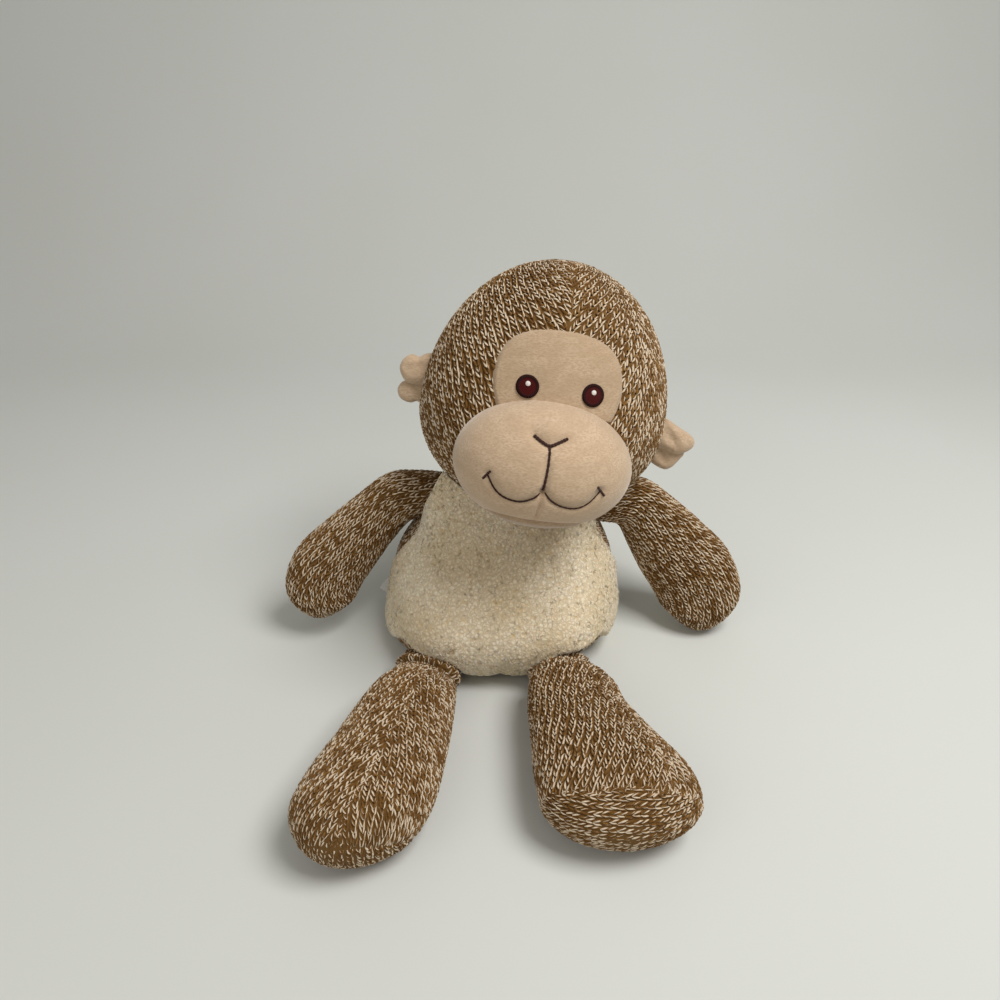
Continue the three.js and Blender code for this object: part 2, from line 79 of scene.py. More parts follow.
# One V of the knit: the wale's width, the course's height, and each leg's half width and height,
# run sideways in wales, rise in courses, how deep it sits and how far it strays across, up and out.
WALE = 3.9
COURSE = 2.7
LEG_HALF_WIDTH = 0.72
LEG_HEIGHT = 1.0
LEG_RUN = 0.43
LEG_RISE = 1.6
STITCH_SUNK = 0.62
JITTER = (0.15, 0.18, 0.07)
TORSO_CLOTH_DEPTH = -0.95
# The mm round and up that the stitches of each panel may cover.
BACK_BOX = ((-120, 120), (10, 150))
SEAT_BOX = ((-220, 220), (-55, 32))
BROWN_YARN = (0x785427, 0x976f38)
# A darker brown for single fibres, and painted shade on the flanks of each leg.
DARK_BROWN_AND_FLANK_SHADE = 0x5d401c
PALE_YARN = (0xc6b297, 0xe7dac6)
# Plain dark brown behind the stitches: the yarn behind them, and partly painted shade of the gaps.
CLOTH_BEHIND_AND_GAP_SHADE = 0x6c4e26


def smooth(low, high, value):
    """3 t^2 - 2 t^3, with t the share of the way from low to high."""
    t = np.clip((value - low) / (high - low), 0, 1)
    return t * t * (3 - 2 * t)


def rows_at(rows, share):
    """Catmull-Rom through a table's rows: ((c t + q) t + m) t + p for each column."""
    rows = np.asarray(rows, float)
    outer = np.vstack([2 * rows[0] - rows[1], rows, 2 * rows[-1] - rows[-2]])
    place = np.asarray(share, float) * (len(rows) - 1)
    index = np.clip(np.floor(place).astype(int), 0, len(rows) - 2)
    t = (place - index)[..., None]
    before, first, second, after = (outer[index + k] for k in range(4))
    slope_in, slope_out = (second - before) / 2, (after - first) / 2
    cubic = 2 * first - 2 * second + slope_in + slope_out
    square = -3 * first + 3 * second - 2 * slope_in - slope_out
    return ((cubic * t + square) * t + slope_in) * t + first


def unit(vectors):
    """v / |v|"""
    return vectors / np.maximum(np.linalg.norm(vectors, axis=-1, keepdims=True), 1e-9)


def raised(surface, a, b, height, step=0.2):
    """surface(a, b) + height n, with n the unit normal dS/da x dS/db by central differences."""
    along = surface(a + step, b) - surface(a - step, b)
    across = surface(a, b + step) - surface(a, b - step)
    return surface(a, b) + unit(np.cross(along, across)) * np.asarray(height)[..., None]


def grid_faces(rows, columns, start=0):
    """Quads between neighbouring points of a grid of rows x columns."""
    index = start + np.arange(rows * columns).reshape(rows, columns)
    corners = (index[:-1, :-1], index[:-1, 1:], index[1:, 1:], index[1:, :-1])
    return np.stack(corners, axis=-1).reshape(-1, 4)


def mesh_piece(name, points, quads, strand=None):
    """A smooth-shaded mesh object at the origin, with its points turned from mm to metres.
    strand is a vector for the material at each point. A piece that stands for a node of the
    frame is called soft_ and that node's name."""
    mesh = bpy.data.meshes.new(name)
    mesh.vertices.add(len(points))
    mesh.vertices.foreach_set("co", (points * METRE).astype(np.float32).ravel())
    mesh.loops.add(quads.size)
    mesh.loops.foreach_set("vertex_index", quads.astype(np.int32).ravel())
    mesh.polygons.add(len(quads))
    mesh.polygons.foreach_set("loop_start", np.arange(0, quads.size, 4, dtype=np.int32))
    mesh.polygons.foreach_set("use_smooth", np.ones(len(quads), bool))
    if strand is not None:
        layer = mesh.attributes.new("strand", "FLOAT_VECTOR", "POINT")
        layer.data.foreach_set("vector", strand.astype(np.float32).ravel())
    mesh.update(calc_edges=True)
    mesh.validate()
    piece = bpy.data.objects.new("soft_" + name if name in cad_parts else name, mesh)
    bpy.context.scene.collection.objects.link(piece)
    return piece


def stitch_form(along_count=6, round_count=4):
    """One V: each leg runs from the wale's middle up and out, fullest a third of the way up, and
    dives under the next row at its top. With t along it, turn from -1 to 1 over it and
    arch = sin(pi t^0.6)^0.5, its half width is W (0.55 + 0.45 arch) (1 - 0.25 t) and its height
    H cos(pi turn / 2) (1 + arch) / 2 - (1 - arch) / 2 - 0.6 t^2.
    Returns (across the wale, up the wale, height, handed turn, t) for both legs."""
    along, over = np.linspace(0, 1, along_count), np.linspace(-1, 1, round_count)
    t, turn = np.meshgrid(along, over, indexing="ij")
    arch = np.sin(np.pi * np.clip(t, 0.02, 0.98) ** 0.6) ** 0.5
    width = LEG_HALF_WIDTH * (0.55 + 0.45 * arch) * (1 - 0.25 * t)
    sway = 0.035 * np.sin(2 * np.pi * t)
    forms = []
    for side in (-1, 1):
        run, rise = LEG_RUN * WALE, LEG_RISE * COURSE
        long = math.hypot(run, rise)
        offset = width * np.sin(0.5 * np.pi * turn)
        x = side * (WALE * (0.05 + sway) + run * t + offset * rise / long)
        y = rise * t - 0.15 * COURSE - offset * run / long
        full = LEG_HEIGHT * np.cos(0.5 * np.pi * turn) * (0.5 + 0.5 * arch)
        height = full - 0.5 * (1 - arch) - 0.6 * t * t
        forms.append(np.stack([x, y, height, side * turn, t], axis=-1))
    return np.array(forms)


STITCH = stitch_form()


def lattice(surface, keep, sink, box, lean, gauge, random):
    """The Vs of one panel: a lattice on surface(s, t) turned by lean degrees, gauge times the plain
    stitch, its wales wavering by 0.4 sin(0.23 v + 0.11 u) + 0.3 sin(0.61 v - 0.17 u).
    keep(s, t) tells where a stitch belongs, sink(s, t) how far the cloth drops at a seam."""
    (s_low, s_high), (t_low, t_high) = box
    wale, course = WALE * gauge, COURSE * gauge
    cos, sin = math.cos(math.radians(lean)), math.sin(math.radians(lean))
    corners = np.array([(s, t) for s in (s_low, s_high) for t in (t_low, t_high)])
    u_corner = (corners[:, 0] * cos - corners[:, 1] * sin) / wale
    v_corner = (corners[:, 0] * sin + corners[:, 1] * cos) / course
    u, v = np.meshgrid(np.arange(math.floor(u_corner.min()), u_corner.max()) + 0.5,
                       np.arange(math.floor(v_corner.min()), v_corner.max()), indexing="ij")
    u, v = u.ravel() * wale, v.ravel() * course
    middle = v + 0.5 * course
    kept = keep(u * cos + middle * sin, middle * cos - u * sin)
    u, v = u[kept], v[kept]
    u = u + 0.4 * np.sin(0.23 * v + 0.11 * u) + 0.3 * np.sin(0.61 * v - 0.17 * u)
    count = len(u)
    jitter = random.normal(0, 1, (count, 2, 3))
    legs = STITCH * np.ones((count, 1, 1, 1, 1))
    legs[..., :2] *= gauge
    legs[..., 0] += u[:, None, None, None] + JITTER[0] * jitter[:, :, 0, None, None]
    legs[..., 1] += v[:, None, None, None] + JITTER[1] * jitter[:, :, 1, None, None]
    legs[..., 2] += JITTER[2] * jitter[:, :, 2, None, None]
    s = legs[..., 0] * cos + legs[..., 1] * sin
    t = legs[..., 1] * cos - legs[..., 0] * sin
    points = raised(surface, s, t, legs[..., 2] - STITCH_SUNK - sink(s, t)).reshape(-1, 3)
    chance = np.broadcast_to(random.random((count, 2))[:, :, None, None], s.shape)
    return points, np.stack([legs[..., 3], legs[..., 4], chance], axis=-1).reshape(-1, 3)


def knitted(name, lattices, backing, seed, floor=True):
    """Knitted cloth: the Vs of its panels over a plain backing, partly painted shade, whose strand ends in
    -1.
    A piece that touches the floor is pressed flat there, at z = 0."""
    random = np.random.default_rng(seed)
    panels = [lattice(*panel, random) for panel in lattices]
    points = np.vstack([panel[0] for panel in panels])
    strand = np.vstack([panel[1] for panel in panels])
    each = grid_faces(*STITCH.shape[1:3])
    size = STITCH.shape[1] * STITCH.shape[2]
    quads = (each[None] + size * np.arange(len(points) // size)[:, None, None]).reshape(-1, 4)
    ground, ground_quads = backing
    quads = np.vstack([quads, ground_quads + len(points)])
    points = np.vstack([points, ground.reshape(-1, 3)])
    strand = np.vstack([strand, np.tile([0.0, 0.0, -1.0], (ground[..., 0].size, 1))])
    if floor:
        points[:, 2] = np.maximum(points[:, 2], 0.0)
    return mesh_piece(name, points, quads, strand)


def turned(points, x_turn, y_turn):
    """Ry Rx p: nod about X, then tilt about Y."""
    x, y, z = points[..., 0], points[..., 1], points[..., 2]
    cos, sin = math.cos(x_turn), math.sin(x_turn)
    y, z = y * cos - z * sin, y * sin + z * cos
    cos, sin = math.cos(y_turn), math.sin(y_turn)
    return np.stack([x * cos + z * sin, y, z * cos - x * sin], axis=-1)


def unturned(points, x_turn, y_turn):
    """The turn of turned() undone: tilt about Y, then nod about X, both backwards."""
    x, y, z = points[..., 0], points[..., 1], points[..., 2]
    cos, sin = math.cos(-y_turn), math.sin(-y_turn)
    x, z = x * cos + z * sin, z * cos - x * sin
    cos, sin = math.cos(-x_turn), math.sin(-x_turn)
    return np.stack([x, y * cos - z * sin, y * sin + z * cos], axis=-1)


def head_depth(points, grow):
    """(x / a)^2 + (y / b)^2 + (z / c)^2 in the head's egg, grown by grow: below 1 inside it."""
    local = unturned(points - HEAD_AT, HEAD_PITCH, HEAD_TILT)
    tall = np.where(local[..., 2] > 0, HEAD_RADII[2], HEAD_BELOW) + grow
    x = (local[..., 0] - HEAD_LEAN * local[..., 2]) / (HEAD_RADII[0] + grow)
    return x ** 2 + (local[..., 1] / (HEAD_RADII[1] + grow)) ** 2 + (local[..., 2] / tall) ** 2


def under_head(points, grow=0.3):
    """Presses points that would be inside the head straight down, out of its egg."""
    points = points.copy()
    for _ in range(PRESS_STEPS):
        points[..., 2] -= np.where(head_depth(points, grow) < 1, PRESS_STEP, 0.0)
    return points


torso_table = rows_at(TORSO_ROWS, np.linspace(0, 1, TORSO_STEPS))
torso_step = np.hypot(np.diff(torso_table[:, 0]), np.diff(torso_table[:, 3:].mean(axis=1)))
torso_up = np.concatenate([[0], np.cumsum(torso_step)])


def side_seam(z):
    """Depth of the seam between fleece and back, 10 mm further forward above the waist."""
    return 2 - 10 * smooth(36, 52, z) * (1 - smooth(66, 80, z))


def seam_turn(row):
    """Angle from the toy's side back to that seam: asin((seam - y) / depth)."""
    return np.arcsin(np.clip((side_seam(row[0]) - row[2]) / row[4], -1, 1))


def pulled(a, b):
    """The cloth is drawn out and up over the right arm's root: the pull times
    exp(-((a + 0.64) / 0.3)^2), for a from -1 to 1 between the side seams, rising with b."""
    share = smooth(0.45, 0.95, b) * np.exp(-((a + 0.64) / 0.3) ** 2)
    return share[..., None] * SHOULDER_PULL


def torso(s, t, grow=0.0):
    """The torso by mm round it from its back middle and mm up its side: an ellipse at each
    height, drawn in to the middle below t = 0, where it is the flat seat."""
    row = [np.interp(t, torso_up, torso_table[:, k]) for k in range(5)]
    radius = (row[3] + row[4]) / 2
    a = (s / radius - np.pi) / np.maximum(np.pi / 2 + seam_turn(row), 0.1)
    inward = np.clip(1 + t / radius, 0.02, 1)
    angle = np.pi / 2 + s / radius
    x = row[1] + (row[3] + grow) * inward * np.cos(angle)
    y = row[2] + (row[4] + grow) * inward * np.sin(angle)
    place = np.stack([x, y, row[0] + np.where(t < 0, -grow, 0.0)], axis=-1)
    return under_head(place + pulled(a, (t - SEAT_RISE) / (torso_up[-1] - SEAT_RISE - 4)))


def hem_height(x):
    """The hem of the fleece rises from 5 mm in the middle to 21 mm over each hip."""
    return 5 + 16 * smooth(12, 46, np.abs(x))


def mean_radius(t):
    """The mean of the torso's half width and half depth, t mm up its side."""
    return np.interp(t, torso_up, torso_table[:, 3:].mean(axis=1))


def on_back(s, t):
    """Behind the side seam, which the back laps by 1.5 mm, and above the hem of the fleece."""
    place = torso(s, t)
    behind = place[..., 1] > side_seam(place[..., 2]) - 1.5
    return behind & (place[..., 2] > hem_height(place[..., 0]))


def on_seat(s, t):
    """Below that hem and once round, down to 52 mm in from the edge of the seat."""
    place = torso(s, t)
    below = place[..., 2] <= hem_height(place[..., 0])
    return below & (np.abs(s) < np.pi * mean_radius(t)) & (t > -52)


def torso_ground(t_low, t_high, half_turn, rows=40, columns=90):
    """A plain dark cloth layer behind the stitches, its dark brown partly painted shade of the gaps, on a
    grid over (round, up).
    """
    up, round_it = np.linspace(t_low, t_high, rows), np.linspace(-half_turn, half_turn, columns)
    t, turn = np.meshgrid(up, round_it, indexing="ij")
    return torso(turn * mean_radius(t), t, TORSO_CLOTH_DEPTH), grid_faces(rows, columns)


def no_sink(s, t):
    """0 mm everywhere: a panel with no seam of its own."""
    return np.zeros_like(s)


class Wire:
    """A shader socket: arithmetic on it adds Math nodes, node() adds any other node."""

    def __init__(self, tree, socket=None):
        self.tree, self.socket = tree, socket

    def node(self, kind, settings=(), inputs=(), out=0):
        """A node of a type, with its settings set first and then its sockets set or joined."""
        made = self.tree.nodes.new("ShaderNode" + kind)
        for key, value in dict(settings).items():
            setattr(made, key, value)
        for key, value in dict(inputs).items():
            if isinstance(value, Wire):
                self.tree.links.new(value.socket, made.inputs[key])
            else:
                made.inputs[key].default_value = value
        return Wire(self.tree, made.outputs[out])

    def math(self, operation, *values):
        """A Math node on these values."""
        return self.node("Math", {"operation": operation}, dict(enumerate(values)))

    def __add__(self, other):
        return self.math("ADD", self, other)

    def __radd__(self, other):
        return self.math("ADD", other, self)

    def __sub__(self, other):
        return self.math("SUBTRACT", self, other)

    def __rsub__(self, other):
        return self.math("SUBTRACT", other, self)

    def __mul__(self, other):
        return self.math("MULTIPLY", self, other)

    def __rmul__(self, other):
        return self.math("MULTIPLY", other, self)

    def ramp(self, low, high):
        """0 below low, 1 above high, smooth between."""
        settings = {"interpolation_type": "SMOOTHSTEP"}
        return self.node("MapRange", settings, {"Value": self, "From Min": low, "From Max": high})

    def mix(self, first, second):
        """first where this is 0, second where it is 1."""
        settings = {"data_type": "RGBA", "clamp_factor": True}
        return self.node("Mix", settings, {0: self, 6: first, 7: second}, 2)

    def noise(self, scale, detail=2.0, stretch=(1, 1, 1), shift=0.0):
        """Noise over Object coordinates, scale in features per metre."""
        place = self.node("TexCoord", out="Object")
        place = self.node("Mapping", {}, {"Vector": place, "Scale": stretch, "Location": (shift,) * 3})
        return self.node("TexNoise", {}, {"Vector": place, "Scale": scale, "Detail": detail}, "Fac")

    def parts(self, name):
        """The three components of a vector attribute of the piece."""
        vector = self.node("Attribute", {"attribute_name": name}, out="Vector")
        return [self.node("SeparateXYZ", {}, {0: vector}, k) for k in range(3)]


def colour(code):
    """Linear colour from a display code such as 0x8a6a45: ((c + 0.055) / 1.055) ^ 2.4."""
    parts = [((code >> shift) & 255) / 255 for shift in (16, 8, 0)]
    return tuple(c / 12.92 if c <= 0.04045 else ((c + 0.055) / 1.055) ** 2.4 for c in parts) + (1.0,)


def new_material(name, **constants):
    """A material whose constant shader values are set by name. Returns it, a Wire and its shader."""
    made = bpy.data.materials.new(name)
    made.use_nodes = True
    shader = made.node_tree.nodes["Principled BSDF"]
    for socket, value in constants.items():
        shader.inputs[socket.replace("_", " ")].default_value = value
    return made, Wire(made.node_tree), shader


def plug(shader, **wires):
    """Joins wires to the shader's sockets of those names."""
    for socket, wire in wires.items():
        wire.tree.links.new(wire.socket, shader.inputs[socket.replace("_", " ")])


# The yarn is brown with a slanted pale streak down each leg, wider in some patches than others.
# Painted shade darkens the flanks of each leg, and in part the plain backing between the stitches.
knit_material, knit, knit_shader = new_material(
    "marled_knit", Sheen_Weight=0.06, Sheen_Roughness=0.5, Specular_IOR_Level=0.15)
turn, along, chance = knit.parts("strand")
patchy = knit.noise(190, 2.0)
fibre = knit.noise(2600, 2.0, shift=1.0)
second = knit.math("FRACT", 17.3 * chance)
streak_middle = 1.1 * (second - 0.5) - 1.4 * (along - 0.36)
streak_half = 0.31 + 1.4 * (patchy - 0.5) + 0.6 * (chance - 0.5)
streak_half = knit.math("MINIMUM", streak_half, 0.45)
off_streak = knit.math("ABSOLUTE", turn - streak_middle) + 0.25 * (fibre - 0.5)
white = (streak_half - off_streak).ramp(-0.08, 0.10)
brown = patchy.ramp(0.35, 0.65).mix(*map(colour, BROWN_YARN))
brown = fibre.ramp(0.3, 0.7).mix(colour(DARK_BROWN_AND_FLANK_SHADE), brown)
pale = fibre.ramp(0.3, 0.75).mix(*map(colour, PALE_YARN))
# Painted shade: each leg is darker at its flanks, where it turns down into the gaps.
edge = knit.math("ABSOLUTE", turn).ramp(0.6, 1.0)
yarn = white.mix((edge * 0.5).mix(brown, colour(DARK_BROWN_AND_FLANK_SHADE)), pale)
# Off the yarn the backing shows, in a plain dark brown that is partly painted shade of the gaps.
on_yarn = chance.ramp(-0.6, -0.4)
height = 0.5 * white + fibre
plug(knit_shader, Base_Color=on_yarn.mix(colour(CLOTH_BEHIND_AND_GAP_SHADE), yarn),
     Roughness=0.78 + 0.15 * fibre,
     Normal=knit.node("Bump", {}, {"Strength": 0.45, "Distance": 0.0003, "Height": height}))

back_panel = knitted("back_panel", [(torso, on_back, no_sink, BACK_BOX, 0, 1)],
                     torso_ground(12, torso_up[-1], 1.85), 11)
seat_panel = knitted("seat_panel", [(torso, on_seat, no_sink, SEAT_BOX, 0, 1)],
                     torso_ground(-54, 26, math.pi), 12)
for piece in (back_panel, seat_panel):
    piece.data.materials.append(knit_material)
    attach(piece, "torso")
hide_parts("back_panel")
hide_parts("seat_panel", "pellet_bag")


# Belly. Real piece: cream curly fleece over the front and sides of the torso, gathered at the
# bottom middle and rolled under at its hem. Its pile is thousands of small hooked curls.
BELLY_ROWS = 220
BELLY_COLUMNS = 400
BELLY_HALF_WIDTH = 67
BELLY_HALF_TURN = 1.55
# How far the hem rolls in, the bottom middle is gathered in, the skirt swings out over a leg and
# the side is tucked in, and how high the cloth and its lumps stand.
HEM_ROLL = 3.0
GATHER_DEPTH = 2.2
SKIRT_OUT = 6.0
SEAM_TUCK = 2.4
CLOTH_HIGH = 1.2
LUMP_HIGH = 0.8
CURLS_EACH = 4600
CURL_STEPS = 6
CURL_SIDES = 3
CURL_LONG = (1.2, 2.6)
CURL_THICK = (0.22, 0.36)
CREAM = (0xf1e4c9, 0xf9f1e0)
CREAM_PALE = 0xf6eee0
CREAM_WARM = 0xe6d8bd
# Painted shade in the partings between tufts.
PARTING_SHADE = 0xae9363
# Warmer, darker tone at the roots of the curls and in the cloth's creases: painted shade.
PILE_DEEP_SHADE = 0xe0c798


def cell_noise(points, size, seed):
    """Distance in cell sizes to the nearest of one random point per cube of the lattice."""
    random = np.random.default_rng(seed)
    table = random.random((32, 32, 32, 3))
    base = np.floor(points / size).astype(int)
    nearest = np.full(points.shape[:-1], 9.0)
    for shift in np.ndindex(3, 3, 3):
        cell = base + np.array(shift) - 1
        spot = cell + table[tuple((cell % 32)[..., k] for k in range(3))]
        nearest = np.minimum(nearest, np.linalg.norm(points / size - spot, axis=-1))
    return nearest


def fleece_hem(x):
    """Height of the fleece's hem: 4 mm in the middle and at the sides, 17 or 22 mm over the legs."""
    over_leg = np.where(x > 0, 18, 13)
    return 4 + over_leg * smooth(12, 27, np.abs(x)) * (1 - smooth(48, 60, np.abs(x)))


def belly(a, b, grow=0.0):
    """The fleece: a from -1 to 1 between the side seams, b from 0 at the hem to 1 at the neck.
    The torso's ellipse, rolled in at the hem, gathered in the bottom middle as
    exp(-((a - 0.01) / 0.035)^2), swung out over each leg and tucked in at the side seams."""
    sideways = BELLY_HALF_WIDTH * np.sin(a * BELLY_HALF_TURN)
    low = np.interp(fleece_hem(sideways), torso_table[:, 0], torso_up)
    t = low + b * (torso_up[-1] - 4 - low)
    row = [np.interp(t, torso_up, torso_table[:, k]) for k in range(5)]
    angle = -np.pi / 2 + a * (np.pi / 2 + seam_turn(row))
    hem = smooth(0, 0.05, b)
    gather = np.exp(-((a - 0.01) / 0.035) ** 2) * (1 - smooth(0.02, 0.25, b))
    skirt = np.exp(-((np.abs(sideways) - 36) / 17) ** 2) * (1 - smooth(0.1, 0.4, b))
    out = grow - HEM_ROLL * (1 - hem) - GATHER_DEPTH * gather + SKIRT_OUT * skirt * hem
    out = out - SEAM_TUCK * smooth(0.965, 1.0, np.abs(a))
    x = row[1] + (row[3] + out) * np.cos(angle)
    y = row[2] + (row[4] + out) * np.sin(angle)
    return np.stack([x, y, row[0] + 0 * x], axis=-1) + pulled(a, b)


b, a = np.meshgrid(np.linspace(0, 1, BELLY_ROWS), np.linspace(-1, 1, BELLY_COLUMNS), indexing="ij")
plain = belly(a, b)
lumps = 1.0 - 0.9 * cell_noise(plain, 2.0, 5) ** 2 - 0.3 * cell_noise(plain, 7.1, 6)
cloth = under_head(raised(belly, a, b, CLOTH_HIGH + LUMP_HIGH * lumps, 0.002))
pile = np.clip(np.stack([np.zeros_like(a), lumps, np.zeros_like(a)], axis=-1), -1, 1)
belly_panel = mesh_piece("belly_panel", cloth.reshape(-1, 3), grid_faces(BELLY_ROWS, BELLY_COLUMNS),
                         pile.reshape(-1, 3))


def curls(name, a_low, a_high, seed):
    """Hooked tufts of three sides: root + L q along the cloth + H sin(2.4 q) out + 1.4 B q^2 to the
    side, q from 0 to 1, as thick as R (1 - 0.75 q^1.5). Their strand is (0, height, chance)."""
    random = np.random.default_rng(seed)
    a = random.uniform(a_low, a_high, CURLS_EACH)
    b = random.random(CURLS_EACH) ** 0.85
    step = 0.004
    root = belly(a, b, CLOTH_HIGH)
    right = unit(belly(a + step, b, CLOTH_HIGH) - root)
    out = unit(np.cross(right, belly(a, b + step, CLOTH_HIGH) - root))
    up = np.cross(out, right)
    swirl = 1.1 * np.sin(root[:, 0] / 9) + 1.0 * np.cos(root[:, 2] / 7 + root[:, 1] / 11)
    heading = swirl + random.normal(0, 0.8, len(a)) - 1.4
    lie = right * np.cos(heading)[:, None] + up * np.sin(heading)[:, None]
    side_way = np.cross(out, lie)
    high = random.random(len(a))
    high = 0.1 + 0.4 * high + 0.9 * high ** 8
    long = random.uniform(*CURL_LONG, len(a))
    bend = random.normal(0, 0.8, len(a))
    q = np.linspace(0, 1, CURL_STEPS)[None, :]
    path = (root[:, None] + lie[:, None] * (long[:, None] * q)[..., None]
            + out[:, None] * (high[:, None] * np.sin(2.4 * q))[..., None]
            + side_way[:, None] * (bend[:, None] * q * q * 1.4)[..., None])
    tangent = unit(np.gradient(path, axis=1))
    first = unit(np.cross(tangent, side_way[:, None] + 0.3 * out[:, None]))
    second = np.cross(tangent, first)
    thick = random.uniform(*CURL_THICK, len(a))[:, None] * (1 - 0.75 * q ** 1.5)
    turns = np.linspace(0, 2 * math.pi, CURL_SIDES + 1)
    rings = [path + thick[..., None] * (first * math.cos(turn) + second * math.sin(turn))
             for turn in turns]
    rings = under_head(np.stack(rings, axis=2))
    faces = grid_faces(CURL_STEPS, len(turns))
    start = CURL_STEPS * len(turns) * np.arange(len(a))
    quads = (faces[None] + start[:, None, None]).reshape(-1, 4)
    tall = np.broadcast_to(np.sin(2.4 * q)[..., None], rings.shape[:3])
    chance = np.broadcast_to(random.random(len(a))[:, None, None], rings.shape[:3])
    strand = np.stack([np.zeros_like(tall), tall, chance], axis=-1)
    return mesh_piece(name, rings.reshape(-1, 3), quads, strand.reshape(-1, 3))


# Tufts lie apart along thin warm partings, painted darker as shade: the edges of drifted cells and the
# middle line of a noise.
fleece_material, fleece, fleece_shader = new_material(
    "curly_fleece", Specular_IOR_Level=0.1, Roughness=0.9,
    Subsurface_Weight=0.6, Subsurface_Radius=(1.0, 0.8, 0.6), Subsurface_Scale=0.002)
_, tall, chance = fleece.parts("strand")
fibre = fleece.noise(1700, 3.0)
cream = fibre.mix(*map(colour, CREAM))
cream = (chance * 0.5).mix(cream, colour(CREAM_PALE))
cream = fleece.noise(28, 1.0).ramp(0.35, 0.7).mix(cream, colour(CREAM_WARM))
# Painted shade: the roots of the curls and the creases between the cloth's lumps take the darker warm tone.
deep = tall.ramp(-0.1, 0.5)
place = fleece.node("TexCoord", out="Object")
drift = fleece.node("TexNoise", {}, {"Vector": place, "Scale": 420, "Detail": 1.0}, "Color")
drifted = {0: drift, 1: (0.0028,) * 3, 2: place}
place = fleece.node("VectorMath", {"operation": "MULTIPLY_ADD"}, drifted)
tufts = fleece.node("TexVoronoi", {"feature": "DISTANCE_TO_EDGE"}, {"Vector": place, "Scale": 430})
wander = fleece.math("ABSOLUTE", fleece.noise(420, 1.0, shift=3.0) - 0.5)
shaded_parting = fleece.math("MAXIMUM", 1.0 - tufts.ramp(0.0, 0.26), 1.0 - wander.ramp(0.0, 0.05))
# Painted shade darkens the partings.
cream = (shaded_parting * 0.45).mix(cream, colour(PARTING_SHADE))
height = fibre - 1.2 * shaded_parting
plug(fleece_shader, Base_Color=deep.mix(colour(PILE_DEEP_SHADE), cream),
     Normal=fleece.node("Bump", {}, {"Strength": 0.4, "Distance": 0.0005, "Height": height}))

belly_curls = [curls("belly_pile_left", 0.33, 1, 21), curls("belly_pile_middle", -0.34, 0.34, 22),
               curls("belly_pile_right", -1, -0.33, 23)]
for piece in [belly_panel] + belly_curls:
    piece.data.materials.append(fleece_material)
    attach(piece, "torso")
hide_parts("belly_panel", "torso_filling")


# Head. Real pieces: four quarters of the same knitted cloth, sewn along the middle and through
# the ears and stuffed. The wales of the front quarters spread upwards from the middle seam.
HEAD_SEAM_X = 1.2
EAR_SEAM_Y = 8
FRONT_LEAN = 34
HEAD_GAUGE = 1.1
PATCH_X = -0.3
PATCH_HALF = 31.4
PATCH_TOP = 45
PATCH_CORNER = 28
PATCH_BOTTOM = 5
PATCH_MIDDLE_Z = 24
# The mm for a radian of latitude above and below the widest level and for one of longitude there,
# and the latitude where the crown closes.
LATITUDE_MM = 74.0
LATITUDE_MM_BELOW = 60.0
LONGITUDE_MM = 65
CROWN = 1.54
HEAD_CLOTH_DEPTH = -1.05
# The mm up between which stitches lie, and the mm up and away from the middle seam that they may
# cover.
HEAD_STITCHES = (-78, 109.5)
HEAD_BOX_UP = (-80, 114)
HEAD_BOX_OUT = 125


def to_world(local):
    """Head frame to world: tilt and pitch, then to the middle of the head."""
    return turned(local, HEAD_PITCH, HEAD_TILT) + HEAD_AT


def egg(x, y, z, radii, below, grow, lean):
    """Point of an egg in the direction of the unit vector (x, y, z): each part times its radius,
    with a radius of its own below the middle, leaned sideways by lean for each mm up."""
    high = z * (np.where(z > 0, radii[2], below) + grow)
    return np.stack([x * (radii[0] + grow) + lean * high, y * (radii[1] + grow), high], axis=-1)


def head_place(s, t, side, face, grow=0.0):
    """Head frame, by mm sideways from the middle seam and mm up from the widest level:
    latitude t / 74 (60 below), longitude s / (65 cos(latitude)^0.75)."""
    latitude = np.clip(t / np.where(t > 0, LATITUDE_MM, LATITUDE_MM_BELOW), -1.5, CROWN)
    longitude = s / (LONGITUDE_MM * np.cos(latitude) ** 0.75)
    x = side * np.cos(latitude) * np.sin(longitude)
    y = face * np.cos(latitude) * np.cos(longitude)
    return egg(x, y, np.sin(latitude), HEAD_RADII, HEAD_BELOW, grow, HEAD_LEAN)


def bezier(points, steps=12):
    """(1-t)^3 p0 + 3 (1-t)^2 t p1 + 3 (1-t) t^2 p2 + t^3 p3"""
    t = np.linspace(0, 1, steps, endpoint=False)[:, None]
    p = np.array(points, float)
    return (1 - t) ** 3 * p[0] + 3 * (1 - t) ** 2 * t * p[1] + 3 * (1 - t) * t * t * p[2] + t ** 3 * p[3]


def patch_outline():
    """Radius of the face patch's outline for each direction from its middle: a straight foot, two
    bulging sides and a round top, each side two cubic curves."""
    side, high, low, corner = PATCH_HALF, PATCH_TOP, PATCH_BOTTOM, PATCH_CORNER
    tall = high - low
    waist = low + 0.45 * tall
    foot = [[x, low] for x in np.linspace(0, corner, 8, endpoint=False)]
    right = [(corner, low), (side, low + 0.2 * tall), (side + 1, waist - 0.1 * tall), (side, waist)]
    top = [(side, waist), (side - 1, high - 0.1 * tall), (side * 0.55, high), (0, high)]
    half = np.vstack([foot, bezier(right), bezier(top)])
    outline = np.vstack([half, [[0, high]], half[1:][::-1] * [-1, 1]]) - [0, PATCH_MIDDLE_Z]
    angle = np.arctan2(outline[:, 1], outline[:, 0])
    order = np.argsort(angle)
    return angle[order], np.hypot(*outline[order].T)


PATCH_ANGLE, PATCH_RADIUS = patch_outline()


def outside_patch(local):
    """mm outside the patch's outline on the front of the head, negative inside."""
    x, z = local[..., 0] - PATCH_X, local[..., 2] - PATCH_MIDDLE_Z
    edge = np.interp(np.arctan2(z, x), PATCH_ANGLE, PATCH_RADIUS, period=2 * np.pi)
    return np.where(local[..., 1] < 0, np.hypot(x, z) - edge, 99.0)


